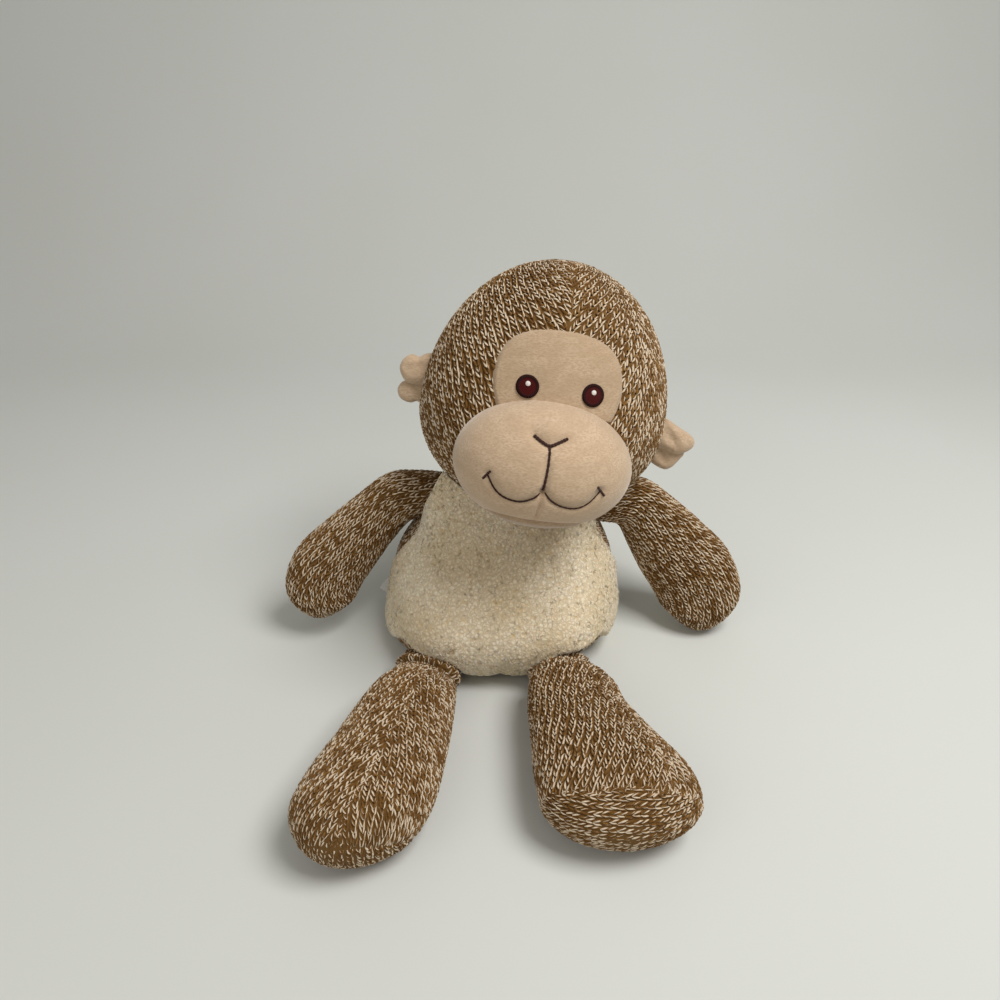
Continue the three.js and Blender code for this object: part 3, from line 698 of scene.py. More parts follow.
def head_quarter(name, side, face, seed):
    """One knitted quarter, with grooves along its seams and round the face patch. s runs away
    from the middle seam, times way, so that the surface faces outwards."""
    way = side * face * -1.0

    def surface(s, t):
        return to_world(head_place(way * s, t, side, face))

    def seams(local):
        """mm beyond the middle seam, the ear seam and the patch's outline."""
        middle = side * (local[..., 0] - HEAD_SEAM_X)
        ear = face * (local[..., 1] - EAR_SEAM_Y)
        return middle, ear, outside_patch(local)

    def keep(s, t):
        middle, ear, patch = seams(head_place(way * s, t, side, face))
        low, high = HEAD_STITCHES
        return (middle > -0.6) & (ear > -0.6) & (patch > -1.2) & (t < high) & (t > low)

    def sink(s, t):
        """Grooves of 0.45 mm at the seams and 1.6 mm at the patch, and 1.8 mm more beyond them."""
        middle, ear, patch = seams(head_place(way * s, t, side, face))
        shallow = 0.45 * (1 - smooth(-0.5, 1.8, np.minimum(middle, ear)))
        deep = 1.6 * (1 - smooth(-0.8, 2.0, patch + 0.8))
        beyond = 1.8 * (1 - smooth(-2.5, -0.6, np.minimum(np.minimum(middle, ear), patch + 0.8)))
        return np.maximum(shallow, deep) + beyond

    latitude, share = np.meshgrid(np.linspace(-1.3, CROWN, 70), np.linspace(0, 1, 50), indexing="ij")
    edge = np.clip(-face * EAR_SEAM_Y / (HEAD_RADII[1] * np.cos(latitude)), -1, 1)
    longitude = share * np.arccos(edge)
    x = side * np.cos(latitude) * np.sin(longitude)
    y = face * np.cos(latitude) * np.cos(longitude)
    depth = HEAD_CLOTH_DEPTH + 1.1 * smooth(1.40, 1.48, latitude)
    ground = egg(x, y, np.sin(latitude), HEAD_RADII, HEAD_BELOW, depth, HEAD_LEAN)
    out = (0, HEAD_BOX_OUT) if way > 0 else (-HEAD_BOX_OUT, 0)
    lean = FRONT_LEAN * way if face < 0 else 0
    panel = (surface, keep, sink, (out, HEAD_BOX_UP), lean, HEAD_GAUGE)
    return knitted(name, [panel], (to_world(ground), grid_faces(70, 50)), seed, False)


head_pieces = {
    "head_front_left": head_quarter("head_front_left", 1, -1, 31),
    "head_front_right": head_quarter("head_front_right", -1, -1, 32),
    "head_back_left": head_quarter("head_back_left", 1, 1, 33),
    "head_back_right": head_quarter("head_back_right", -1, 1, 34),
}
for name, piece in head_pieces.items():
    piece.data.materials.append(knit_material)
    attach(piece, "head")
    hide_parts(name)
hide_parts("head_filling", "neck_filling")


# Face patch, muzzle and chin. Real pieces: short smooth pile cloth, pale pinkish tan. The patch
# is let into the head; the muzzle is a stuffed dome with a seam across and down its chin.
MUZZLE_AT = np.array([-2.3, -55.1, -19.1])
MUZZLE_RADII = np.array([44, 34, 31.5])
MUZZLE_BELOW = 31.4
CHIN_SEAM = -25.0
# The middle between the eyes, how far they are from it, and their height in the head's frame.
EYE_X = 0.5
EYE_SPREAD = 15.9
EYE_Z = 17.2
PATCH_GRID = 110
MUZZLE_GRID = 230
# The plain, warm and shaded tone of each pile. The face and patch tones are lit and shaded copies of
# one pile: the patch is painted darker, as shade of its forward-facing front under light from above.
FACE_TONES = (0xc3a98c, 0xd0b79b, 0xbaa083)
PATCH_SHADED_TONES = (0xb59c80, 0xc2aa8e, 0xad9477)
CHIN_TONES = (0xab9075, 0xb69b7f, 0x9d8368)


def disc_grid(count):
    """Radius and direction of a square grid drawn into a disc: x sqrt(1 - z^2 / 2) and
    z sqrt(1 - x^2 / 2)."""
    z, x = np.meshgrid(np.linspace(-1, 1, count), np.linspace(-1, 1, count), indexing="ij")
    x, z = x * np.sqrt(1 - z * z / 2), z * np.sqrt(1 - x * x / 2)
    return np.minimum(np.hypot(x, z), 1.0), np.arctan2(z, x)


def on_head_front(x, z, grow):
    """The head's surface in front of (x, z), raised by grow: y = -b sqrt(1 - (x/a)^2 - (z/c)^2)."""
    tall = np.where(z > 0, HEAD_RADII[2], HEAD_BELOW) + grow
    wide = HEAD_RADII[0] + grow
    left = np.clip(1 - ((x - HEAD_LEAN * z) / wide) ** 2 - (z / tall) ** 2, 1e-4, 1)
    return np.stack([x, -(HEAD_RADII[1] + grow) * np.sqrt(left), z], axis=-1)


radius, angle = disc_grid(PATCH_GRID)
reach = radius * (np.interp(angle, PATCH_ANGLE, PATCH_RADIUS, period=2 * np.pi) + 0.6)
x = PATCH_X + reach * np.cos(angle)
z = PATCH_MIDDLE_Z + reach * np.sin(angle)
dimple = sum(np.exp(-((x - EYE_X - side * EYE_SPREAD) ** 2 + (z - EYE_Z) ** 2) / 60)
             for side in (-1, 1))
grow = 0.5 - 1.9 * smooth(0.93, 1.0, radius) - 0.9 * dimple
patch_points = to_world(on_head_front(x, z, grow)).reshape(-1, 3)
face_patch = mesh_piece("face_patch", patch_points, grid_faces(PATCH_GRID, PATCH_GRID))


def muzzle_local(x, z, grow=0.0):
    """Muzzle surface in front of (x, z) measured from the muzzle's middle:
    y = -b sqrt(1 - (x/a)^2 - (z/c)^2)."""
    tall = np.where(z > 0, MUZZLE_RADII[2], MUZZLE_BELOW) + grow
    left = np.clip(1 - (x / (MUZZLE_RADII[0] + grow)) ** 2 - (z / tall) ** 2, 1e-3, 1)
    return np.stack([x, -(MUZZLE_RADII[1] + grow) * np.sqrt(left), z], axis=-1)


def line_distance(x, z, points):
    """Distance from (x, z) to the nearest of a line's straight pieces."""
    nearest = np.full(x.shape, 99.0)
    for (ax, az), (bx, bz) in zip(points[:-1], points[1:]):
        long = (bx - ax) ** 2 + (bz - az) ** 2
        share = np.clip(((x - ax) * (bx - ax) + (z - az) * (bz - az)) / long, 0, 1)
        nearest = np.minimum(nearest, np.hypot(x - ax - share * (bx - ax), z - az - share * (bz - az)))
    return nearest


NOSE_ARMS = [(-9.2, 16.8), (-5.5, 14.6), (-1.6, 13.2), (2.4, 15), (6.6, 17.3)]
NOSE_STEM = [(-1.6, 13.2), (-1.2, 7), (-1.3, 1), (-1.6, -4), (-1.8, -7.3)]
SMILE_RIGHT = [(-2.4, -8.2), (-6, -11.8), (-11.5, -14.3), (-18, -13.6), (-23, -10.4), (-27.4, -4)]
TICK_RIGHT = [(-29.2, -6.4), (-27.6, -4.2), (-26.2, -2)]
SMILE_LEFT = [(-0.8, -8), (3, -11.6), (8.5, -14), (15, -14.4), (20.5, -11.4), (25.4, -4.6)]
TICK_LEFT = [(23.2, -2.6), (25.5, -4.8), (27.6, -7)]
CHIN_LINE = [(-1.6, -8.3), (-1.9, -14), (-2.1, -21)]


def muzzle_relief(x, z):
    """How the sewn lines draw the cloth in, and how the nose tip is pinched out between them."""
    drawn = 1.5 * np.exp(-(line_distance(x, z, NOSE_ARMS + NOSE_STEM[1:]) / 2.2) ** 2)
    for line in (SMILE_RIGHT, SMILE_LEFT):
        drawn = drawn + 1.3 * np.exp(-(line_distance(x, z, line) / 2.0) ** 2)
    chin = 1.6 * np.exp(-(line_distance(x, z, CHIN_LINE) / 1.1) ** 2)
    tip = 1.8 * np.exp(-(((x + 1.5) / 5.0) ** 2 + ((z - 20.5) / 3.4) ** 2))
    return tip - drawn - chin


# swing is the angle from straight ahead: past a quarter turn the dome runs back into the head.
radius, angle = disc_grid(MUZZLE_GRID)
swing = 1.3 * radius + 1.1 * radius ** 3
direction = (np.sin(swing) * np.cos(angle), -np.cos(swing), np.sin(swing) * np.sin(angle))
plain = egg(*direction, MUZZLE_RADII, MUZZLE_BELOW, 0.0, 0.0)
front = smooth(1.5, 1.2, swing)
seam_gap = np.abs(plain[..., 2] - CHIN_SEAM)
relief = muzzle_relief(plain[..., 0], plain[..., 2]) * front - 1.5 * np.exp(-seam_gap ** 2) * front
dome = egg(*direction, MUZZLE_RADII, MUZZLE_BELOW, relief, 0.0) + MUZZLE_AT
quads = grid_faces(MUZZLE_GRID, MUZZLE_GRID)
low = plain[..., 2].ravel()[quads].mean(axis=1) < CHIN_SEAM


def part_of(points, quads):
    """The points that these quads use, and the quads counted anew."""
    used, counted = np.unique(quads, return_inverse=True)
    return points.reshape(-1, 3)[used], counted.reshape(-1, 4)


muzzle_cover = mesh_piece("muzzle_cover", *part_of(to_world(dome), quads[~low]))
chin_panel = mesh_piece("chin_panel", *part_of(to_world(dome), quads[low]))


def smooth_pile(name, base, warm, shade):
    """Short pile: brushed mottling, fine fibre bump and a soft sheen."""
    made, wire, shader = new_material(name, Sheen_Weight=0.45, Sheen_Roughness=0.45,
                                      Specular_IOR_Level=0.2, Roughness=0.85)
    brushed = wire.noise(90, 3.0, (1, 1, 2.4))
    hair = wire.noise(1700, 3.0, (0.35, 0.6, 1))
    tone = brushed.ramp(0.3, 0.7).mix(colour(base), colour(warm))
    tone = hair.ramp(0.3, 0.65).mix(colour(shade), tone)
    height = hair + 0.8 * brushed
    plug(shader, Base_Color=tone,
         Normal=wire.node("Bump", {}, {"Strength": 0.35, "Distance": 0.0005, "Height": height}))
    return made


face_pile = smooth_pile("face_pile", *FACE_TONES)
# Painted shade: the patch gets a darker copy of the muzzle's pile.
shaded_patch_pile = smooth_pile("shaded_patch_pile", *PATCH_SHADED_TONES)
chin_pile = smooth_pile("chin_pile", *CHIN_TONES)
face_patch.data.materials.append(shaded_patch_pile)
muzzle_cover.data.materials.append(face_pile)
chin_panel.data.materials.append(chin_pile)
for piece in (face_patch, muzzle_cover, chin_panel):
    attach(piece, "head")
    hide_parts(piece.name.removeprefix("soft_"))
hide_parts("muzzle_filling")


# Nose, mouth and eyes. Real pieces: embroidery in dark brown thread on the muzzle and satin
# stitched eyes in burgundy with a darker rim and a small white glint.
EYE_RADIUS = 5.6
GLINT_RADIUS = 1.35
GLINT_UP = 1.4
THREAD_BROWN = (0x27100b, 0x452419)
EYE_FILL = (0x36090a, 0x52130f)
EYE_RIM = (0x1b0605, 0x2f0e0b)
GLINT_WHITE = (0xcfc8c0, 0xf6f3ee)


def curve_through(points, count):
    """Catmull-Rom through (x, z) points, evenly by share."""
    return rows_at(np.array(points, float), np.linspace(0, 1, count))


def thread(points, half_width, high, count=90, sides=10, stitch=2.6, taper=(0.5, 0.5)):
    """Embroidered line on the muzzle: overlapping stitches, each swelling as |sin(pi l / stitch)|."""
    line = curve_through(points, count)
    x, z = line[:, 0], line[:, 1]
    middle = muzzle_local(x, z, muzzle_relief(x, z) + 0.35)
    tangent = unit(np.gradient(middle, axis=0))
    tall = np.where(z > 0, MUZZLE_RADII[2], MUZZLE_BELOW)
    out = unit(middle / np.stack([MUZZLE_RADII[0] + 0 * x, MUZZLE_RADII[1] + 0 * x, tall], axis=-1) ** 2)
    across = unit(np.cross(tangent, out))
    length = np.concatenate([[0], np.cumsum(np.linalg.norm(np.diff(middle, axis=0), axis=1))])
    swell = 0.7 + 0.3 * np.abs(np.sin(np.pi * length / stitch)) ** 0.6
    share = length / length[-1]
    ends = np.sqrt(np.clip(np.minimum(share / 0.03, (1 - share) / 0.03), 0.02, 1))
    swell = swell * ends * (taper[0] + (taper[1] - taper[0]) * share) * 2
    turn = np.linspace(0, 2 * np.pi, sides)
    ring = (across[:, None] * (half_width * swell[:, None] * np.cos(turn))[..., None]
            + out[:, None] * (high * swell[:, None] * np.sin(turn))[..., None])
    place = to_world(middle[:, None] + ring + MUZZLE_AT)
    strand = np.stack([np.broadcast_to(turn / np.pi, place.shape[:2]),
                       np.broadcast_to(length[:, None], place.shape[:2]),
                       np.ones(place.shape[:2])], axis=-1)
    return place, grid_faces(count, sides), strand


def threads(name, *lines):
    """Several embroidered lines in one piece."""
    points, quads, strands, start = [], [], [], 0
    for place, faces, strand in lines:
        points.append(place.reshape(-1, 3))
        strands.append(strand.reshape(-1, 3))
        quads.append(faces + start)
        start += place[..., 0].size
    return mesh_piece(name, np.vstack(points), np.vstack(quads), np.vstack(strands))


nose = threads("nose_stitches", thread(NOSE_ARMS, 0.8, 0.75, stitch=1.6),
               thread(NOSE_STEM, 0.62, 0.65))
mouth_right = threads("mouth_stitches_right", thread(SMILE_RIGHT, 0.46, 0.5),
                      thread(TICK_RIGHT, 0.62, 0.6, 30))
mouth_left = threads("mouth_stitches_left", thread(SMILE_LEFT, 0.46, 0.5, taper=(0.55, 0.3)),
                     thread(TICK_LEFT, 0.62, 0.6, 30))

thread_material, cord, cord_shader = new_material(
    "dark_thread", Roughness=0.6, Sheen_Weight=0.1, Specular_IOR_Level=0.25)
turn, along, _ = cord.parts("strand")
twist = cord.math("SINE", 5.0 * along + 6.2832 * turn)
fine = cord.noise(1800, 2.0)
plug(cord_shader, Base_Color=fine.mix(*map(colour, THREAD_BROWN)),
     Normal=cord.node("Bump", {}, {"Strength": 0.5, "Distance": 0.0003, "Height": twist + fine}))


def disc(name, x, z, radius, rise, dome, rings=16, turns=64, rim=0.0):
    """A domed satin-stitched disc: height rise + dome (1 - r^2) + rim exp(-((r - 0.84) / 0.12)^2)."""
    reach, round_it = np.linspace(0.02, 1, rings), np.linspace(0, 2 * np.pi, turns)
    r, turn = np.meshgrid(reach, round_it, indexing="ij")
    high = rise + dome * (1 - r * r) + rim * np.exp(-((r - 0.84) / 0.12) ** 2)
    high = np.where(r > 0.97, rise - 0.9, high)
    place = on_head_front(x + radius * r * np.cos(turn), z + radius * r * np.sin(turn), high)
    strand = np.stack([turn / np.pi, r, x + radius * r * np.cos(turn + 0.5)], axis=-1)
    return mesh_piece(name, to_world(place).reshape(-1, 3), grid_faces(rings, turns), strand.reshape(-1, 3))


eye_material, eye, eye_shader = new_material(
    "eye_thread", Roughness=0.6, Specular_IOR_Level=0.12)
turn, reach, across = eye.parts("strand")
rim_share = reach.ramp(0.66, 0.74)
fill_lines = eye.math("SINE", 9.0 * across)
rim_lines = eye.math("SINE", 120.0 * turn)
lines = fill_lines + rim_share * (rim_lines - fill_lines)
fill = (0.5 + 0.35 * lines).mix(*map(colour, EYE_FILL))
rim = (0.5 + 0.35 * lines).mix(*map(colour, EYE_RIM))
plug(eye_shader, Base_Color=rim_share.mix(fill, rim),
     Normal=eye.node("Bump", {}, {"Strength": 0.45, "Distance": 0.0002, "Height": lines}))
glint_material, glint, glint_shader = new_material("glint_thread", Roughness=0.5, Sheen_Weight=0.2)
_, reach, across = glint.parts("strand")
lines = glint.math("SINE", 12.0 * across)
plug(glint_shader, Base_Color=(0.5 + 0.4 * lines).mix(*map(colour, GLINT_WHITE)),
     Normal=glint.node("Bump", {}, {"Strength": 0.4, "Distance": 0.0002, "Height": lines}))

for side, label in ((1, "left"), (-1, "right")):
    x = EYE_X + side * EYE_SPREAD
    eye_piece = disc(f"eye_{label}", x, EYE_Z, EYE_RADIUS, 0.7, 0.5, rim=0.35)
    glint_piece = disc(f"eye_highlight_{label}", x, EYE_Z + GLINT_UP, GLINT_RADIUS, 1.3, 0.5, 8, 24)
    for piece, skin, slot in ((eye_piece, eye_material, "dark_thread"),
                              (glint_piece, glint_material, "highlight_thread")):
        piece.data.materials.append(skin)
        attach(piece, "head")
        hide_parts(piece.name.removeprefix("soft_"))
for piece in (nose, mouth_left, mouth_right):
    piece.data.materials.append(thread_material)
    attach(piece, "head")
    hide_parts(piece.name.removeprefix("soft_"))


# Ears. Real pieces: two layers of the smooth pile, sewn at the edge, turned out and folded
# over themselves where they are caught in the ear seam.
# Upper and lower fold of each ear: depth, half thickness and outline (x, z) in the head's frame.
EARS = {
    "left": [
        (7.5, 6.0, [(66, 2), (70, 4.5), (72.5, 5.5), (77, 3.5), (81, 1.5), (85.5, -0.5), (89, -2.5),
                    (91, -5), (91, -8), (89, -10.5), (86, -12.5), (82.5, -13.8), (80, -14),
                    (77.5, -13), (74.5, -12.4), (71.5, -11.5), (68, -10.8), (64, -8), (63, -2)]),
        (11.5, 5.0, [(64, -9), (64, -15), (67, -18.5), (68.5, -20.5), (72.5, -22.7), (76.5, -24),
                     (79, -24), (82, -22), (84, -19.5), (86, -16.5), (87.5, -13.5), (86, -10),
                     (78, -8), (70, -6)]),
    ],
    "right": [
        (2.4, 5.5, [(-60, 22), (-65, 23.6), (-68, 22.6), (-70.6, 21), (-72.2, 21.2), (-74.5, 21.8),
                    (-78, 20), (-80, 17), (-80.6, 13.5), (-79.4, 10), (-77, 7), (-73.5, 5.6),
                    (-69.5, 5.6), (-65, 6.3), (-61, 9)]),
        (6.3, 4.6, [(-62, 7), (-68, 9), (-74, 9), (-77.5, 6.6), (-79.4, 5), (-80.6, 2.5), (-80.6, 0),
                    (-79, -3), (-76, -4.6), (-72.5, -5), (-69.5, -3.8), (-66, -5), (-62, -5.5),
                    (-60, 0)]),
    ],
}


def lobe(depth, thick, outline, count=60):
    """A stuffed fold inside an outline: thickness T sqrt(1 - r^2.4) (1 - 0.22 exp(-4 r^2)), so a
    little thicker at its rim, with small creases in front."""
    outline = np.array(outline, float)
    middle = outline.mean(axis=0)
    closed = np.vstack([outline, outline[:1]])
    line = rows_at(closed, np.linspace(0, 1, 240)) - middle
    way = np.arctan2(line[:, 1], line[:, 0])
    order = np.argsort(way)
    radius, angle = disc_grid(count)
    reach = radius * np.interp(angle, way[order], np.hypot(*line[order].T), period=2 * np.pi)
    x, z = middle[0] + reach * np.cos(angle), middle[1] + reach * np.sin(angle)
    swell = np.sqrt(np.clip(1 - radius ** 2.4, 0, 1)) * (1 - 0.22 * np.exp(-(radius / 0.5) ** 2))
    fold = 0.5 * np.sin(x / 1.7 + z / 2.3) * (1 - radius) + 0.35 * np.sin(z / 1.3) * radius * (1 - radius)
    front = np.stack([x, depth - (thick * swell + fold), z], axis=-1)
    back = np.stack([x, depth + thick * swell, z], axis=-1)
    quads = np.vstack([grid_faces(count, count), grid_faces(count, count, count * count)])
    return to_world(np.stack([front, back])), quads


for label, folds in EARS.items():
    upper, lower = (lobe(*fold) for fold in folds)
    points = np.vstack([upper[0].reshape(-1, 3), lower[0].reshape(-1, 3)])
    quads = np.vstack([upper[1], lower[1] + upper[0][..., 0].size])
    piece = mesh_piece(f"ear_{label}", points, quads)
    piece.data.materials.append(face_pile)
    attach(piece, f"ear_{label}")
    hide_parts(f"ear_{label}")


# Arms and legs. Real pieces: stuffed tubes of the knitted cloth with rounded ends, the feet
# with a separate sole. Their wales run along the limb and end in its hidden seam.
# Stations from root to tip: place from the root, half width, half depth or height, turn in degrees.
ARM_ROWS = {
    "left": [
        [-3, 2, -3, 10, 11, 84],
        [10, 2, -3.5, 12, 12.5, 78],
        [26, 0, -2.5, 15.8, 15, 63],
        [39.4, -3, -15.4, 19.6, 16.4, 46],
        [51.6, -7.3, -29.6, 23.3, 17.5, 41],
        [63.5, -13, -42.9, 25.3, 17.4, 32],
        [70.3, -19.4, -59.1, 23.9, 16.5, 10],
        [69.2, -26, -76.7, 17, 15, -4],
    ],
    "right": [
        [4, 3, -1, 11.5, 12, -82],
        [-9, 1, -0.8, 13.8, 13.4, -77],
        [-23, -2, -2, 15.6, 15, -66],
        [-37.8, -7, -13.5, 17, 16, -52],
        [-52.6, -13, -27.5, 19.8, 16.7, -45],
        [-65.3, -19, -40.6, 21.9, 16.3, -34],
        [-71.2, -24.2, -54.8, 20.4, 14.9, -13],
        [-71.5, -29, -68.4, 14, 13, -1],
    ],
}
LEG_ROWS = {
    "left": [
        [-1, 5.5, -1, 15, 5, 3],
        [-0.5, -1, -1, 17, 9, 3],
        [1.8, -14, 2.5, 18.4, 14, 6],
        [5, -30, 7.5, 22.8, 20, 6],
        [6.8, -46, 8.5, 25.5, 21.5, 7],
        [12.8, -64, 9, 31, 22, 9],
        [18.5, -82, 9, 36, 22, 5],
        [20.5, -97.5, 8.5, 36.3, 21.5, 2],
        [19.8, -117.2, 8, 35.5, 21, 0],
    ],
    "right": [
        [0, 4, -1, 15, 5, 5],
        [-1.5, -8, -1.5, 17.3, 9, 8],
        [-3, -23, 2, 18.8, 13.8, 11],
        [-5.9, -40.8, 7.5, 21.9, 20, 10.6],
        [-10, -59.5, 8.5, 25.1, 21.5, 12.5],
        [-14.3, -78, 9, 27.4, 22, 13.2],
        [-19.5, -95, 9, 29.6, 22, 12.5],
        [-25, -110, 8.5, 28.3, 21.5, 10.5],
        [-32.5, -128, 8, 23, 21, 8],
    ],
}
# The roots of the limbs, as in the solids.
SHOULDERS = {"left": np.array([54.182, 10.547, 78]), "right": np.array([-33.362, 11.651, 81])}
HIPS = {"left": np.array([35.5, -57.035, 13]), "right": np.array([-35.5, -53.653, 13])}
# The share of its table that a rounded tip takes, and how far a root is drawn shut.
ARM_TIP = 0.17
LEG_TIP = 0.13
ROOT_CLOSED = 0.12
LIMB_STEPS = 120
CAP_STEPS = 40
LIMB_BOX_ROUND = (-120, 120)
SOLE_BOX = ((-80, 80), (-45, 45))
LIMB_CLOTH_DEPTH = -1.05
SOLE_CLOTH_DEPTH = -1.2
LEG_GAUGE = 0.9
FLAT_UNDERSIDE = 0.5
# The crease at each hip: its place at the leg's middle, and its slope over x.
HIP_CREASES = {"left": (-67.5, 0.27), "right": (-69.5, -0.39)}
# The sole's seam: its share of the leg's table, its slope and lift, and the lean of the sole's wales.
SOLE_SHARE = {"left": 0.87, "right": 0.9}
SOLE_SLOPE = {"left": 0.4, "right": 1.1}
SOLE_LIFT = {"left": 7, "right": 14}
SOLE_LEAN = {"left": 90, "right": 0}
# The leg's front seam, in mm round from the top, and the lean of the wales on both its sides.
FRONT_SEAM_AT = {"left": 20, "right": 5}
FRONT_SEAM_LEANS = {"left": (24, -4), "right": (20, -20)}


class Limb:
    """A tube through a table of stations, by mm round it from its top line and mm along it. Its
    root is drawn shut and its tip, a share of the table, is rounded off as sin and cos."""

    def __init__(self, root, rows, tip, crease=None):
        self.root, self.crease, self.is_leg = root, crease, crease is not None
        share = np.linspace(0, 1 - tip, LIMB_STEPS)
        cap = np.linspace(0, np.pi / 2, CAP_STEPS + 1)[1:]
        table = rows_at(rows, np.concatenate([share, 1 - tip + tip * np.sin(cap)]))
        closing = np.maximum(np.cos(cap), 0.01)
        scale = np.concatenate([[ROOT_CLOSED], np.ones(LIMB_STEPS - 1), closing])
        table[:, 3:5] *= scale[:, None]
        table[:, 5] = np.radians(table[:, 5])
        self.table = table
        turns = np.linspace(0, 2 * np.pi, 8, endpoint=False)
        lines = np.stack([self.ring(table.T, turn, 0.0) for turn in turns])
        steps = np.linalg.norm(np.diff(lines, axis=1), axis=-1)
        self.up = np.concatenate([[0], np.cumsum(steps.mean(axis=0))])
        self.long = self.up[-1]
        wide, high = (np.cumsum(steps[k][::-1]) for k in (0, 2))
        self.from_tip = np.concatenate([[0], high])
        self.flatness = wide[60] / high[60]

    def ring(self, row, turn, grow):
        """middle + (a + grow) cos(turn) across + (b + grow) sin(turn) deep"""
        across, deep = (row[3] + grow) * np.cos(turn), (row[4] + grow) * np.sin(turn)
        zero = np.zeros_like(across)
        along, aside = across * np.cos(row[5]), across * np.sin(row[5])
        if self.is_leg:
            offset = np.stack([along, -aside, deep - FLAT_UNDERSIDE + zero], axis=-1)
        else:
            offset = np.stack([along, deep + zero, aside], axis=-1)
        return self.root + np.stack([row[0] + zero, row[1] + zero, row[2] + zero], axis=-1) + offset

    def row_at(self, t):
        """The table's row t mm along the limb."""
        return [np.interp(t, self.up, self.table[:, k]) for k in range(6)]

    def radius(self, t):
        """The mean of the two half widths there."""
        row = self.row_at(t)
        return (row[3] + row[4]) / 2

    def place(self, s, t, grow=0.0):
        """turn = s / R - e / 2 sin(2 s / R), which steps evenly round an ellipse of eccentricity e."""
        row = self.row_at(t)
        radius = np.maximum((row[3] + row[4]) / 2, 0.3)
        uneven = (row[3] - row[4]) / (row[3] + row[4])
        turn = s / radius - uneven / 2 * np.sin(2 * s / radius)
        if not self.is_leg:
            return self.ring(row, turn - np.pi / 2, grow)
        turn = np.pi / 2 - turn
        return self.ring(row, turn, grow - self.drawn_in(self.ring(row, turn, 0.0)))

    def behind(self, place):
        """mm behind the leg's crease, the line y = at + slope (x - root x)."""
        at, slope = self.crease
        return place[..., 1] - at - slope * (place[..., 0] - self.root[0])

    def drawn_in(self, place):
        """The leg is sewn off at its crease and the cloth behind it rolls out:
        9 exp(-(d / 1.8)^2) - 1.6 exp(-((d - 5.5) / 3.5)^2), d mm behind."""
        behind = self.behind(place)
        return 9.0 * np.exp(-(behind / 1.8) ** 2) - 1.6 * np.exp(-((behind - 5.5) / 3.5) ** 2)

    def dome(self, p, q):
        """Round the tip, by mm sideways and mm up from it: r^2 = (p / k)^2 + q^2 along the cap."""
        reach = np.hypot(p / self.flatness, q)
        t = np.interp(reach, self.from_tip, self.up[::-1])
        return self.ring(self.row_at(t), np.arctan2(q, p / self.flatness), 0.0)

    def ground(self, low, high, depth=LIMB_CLOTH_DEPTH, rows=70, columns=60):
        """A plain dark cloth layer behind the stitches, its dark brown partly painted shade of the gaps, on
        a grid along and round the limb.
        """
        along, round_it = np.linspace(low, high, rows), np.linspace(-1, 1, columns)
        t, share = np.meshgrid(along, round_it, indexing="ij")
        radius = self.radius(t) * np.pi
        return self.place(share * radius, t, depth), grid_faces(rows, columns)


SIDES = ("left", "right")
arms = {side: Limb(SHOULDERS[side], ARM_ROWS[side], ARM_TIP) for side in SIDES}
legs = {side: Limb(HIPS[side], LEG_ROWS[side], LEG_TIP, HIP_CREASES[side]) for side in SIDES}


def limb_panel(limb, belongs, sink_place, lean):
    """One panel over a limb. Courses count from the tip, so that the Vs open towards the root.
    belongs and sink_place are given the points, mm round and mm from the root."""
    def surface(s, t):
        return limb.place(s, limb.long - t)

    def keep(s, t):
        t = limb.long - t
        inside = (np.abs(s) < np.pi * limb.radius(t) + 0.4) & (t > 0) & (t < limb.long)
        return inside & belongs(limb.place(s, t), s, t)

    def sink(s, t):
        return sink_place(limb.place(s, limb.long - t), s, limb.long - t)

    gauge = LEG_GAUGE if limb.is_leg else 1
    return surface, keep, sink, (LIMB_BOX_ROUND, (-2, limb.long + 2)), lean, gauge


for number, (side, limb) in enumerate(arms.items()):
    panel = limb_panel(limb, lambda place, s, t: True, lambda place, s, t: 0.0, 0)
    piece = knitted(f"arm_cover_{side}", [panel], limb.ground(0, limb.long), 41 + number)
    piece.data.materials.append(knit_material)
    end = limb.root + rows_at(ARM_ROWS[side], np.array(0.3))[:3]
    tuple(end * METRE)
    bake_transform(piece)
    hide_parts(f"arm_cover_{side}", f"arm_filling_{side}")


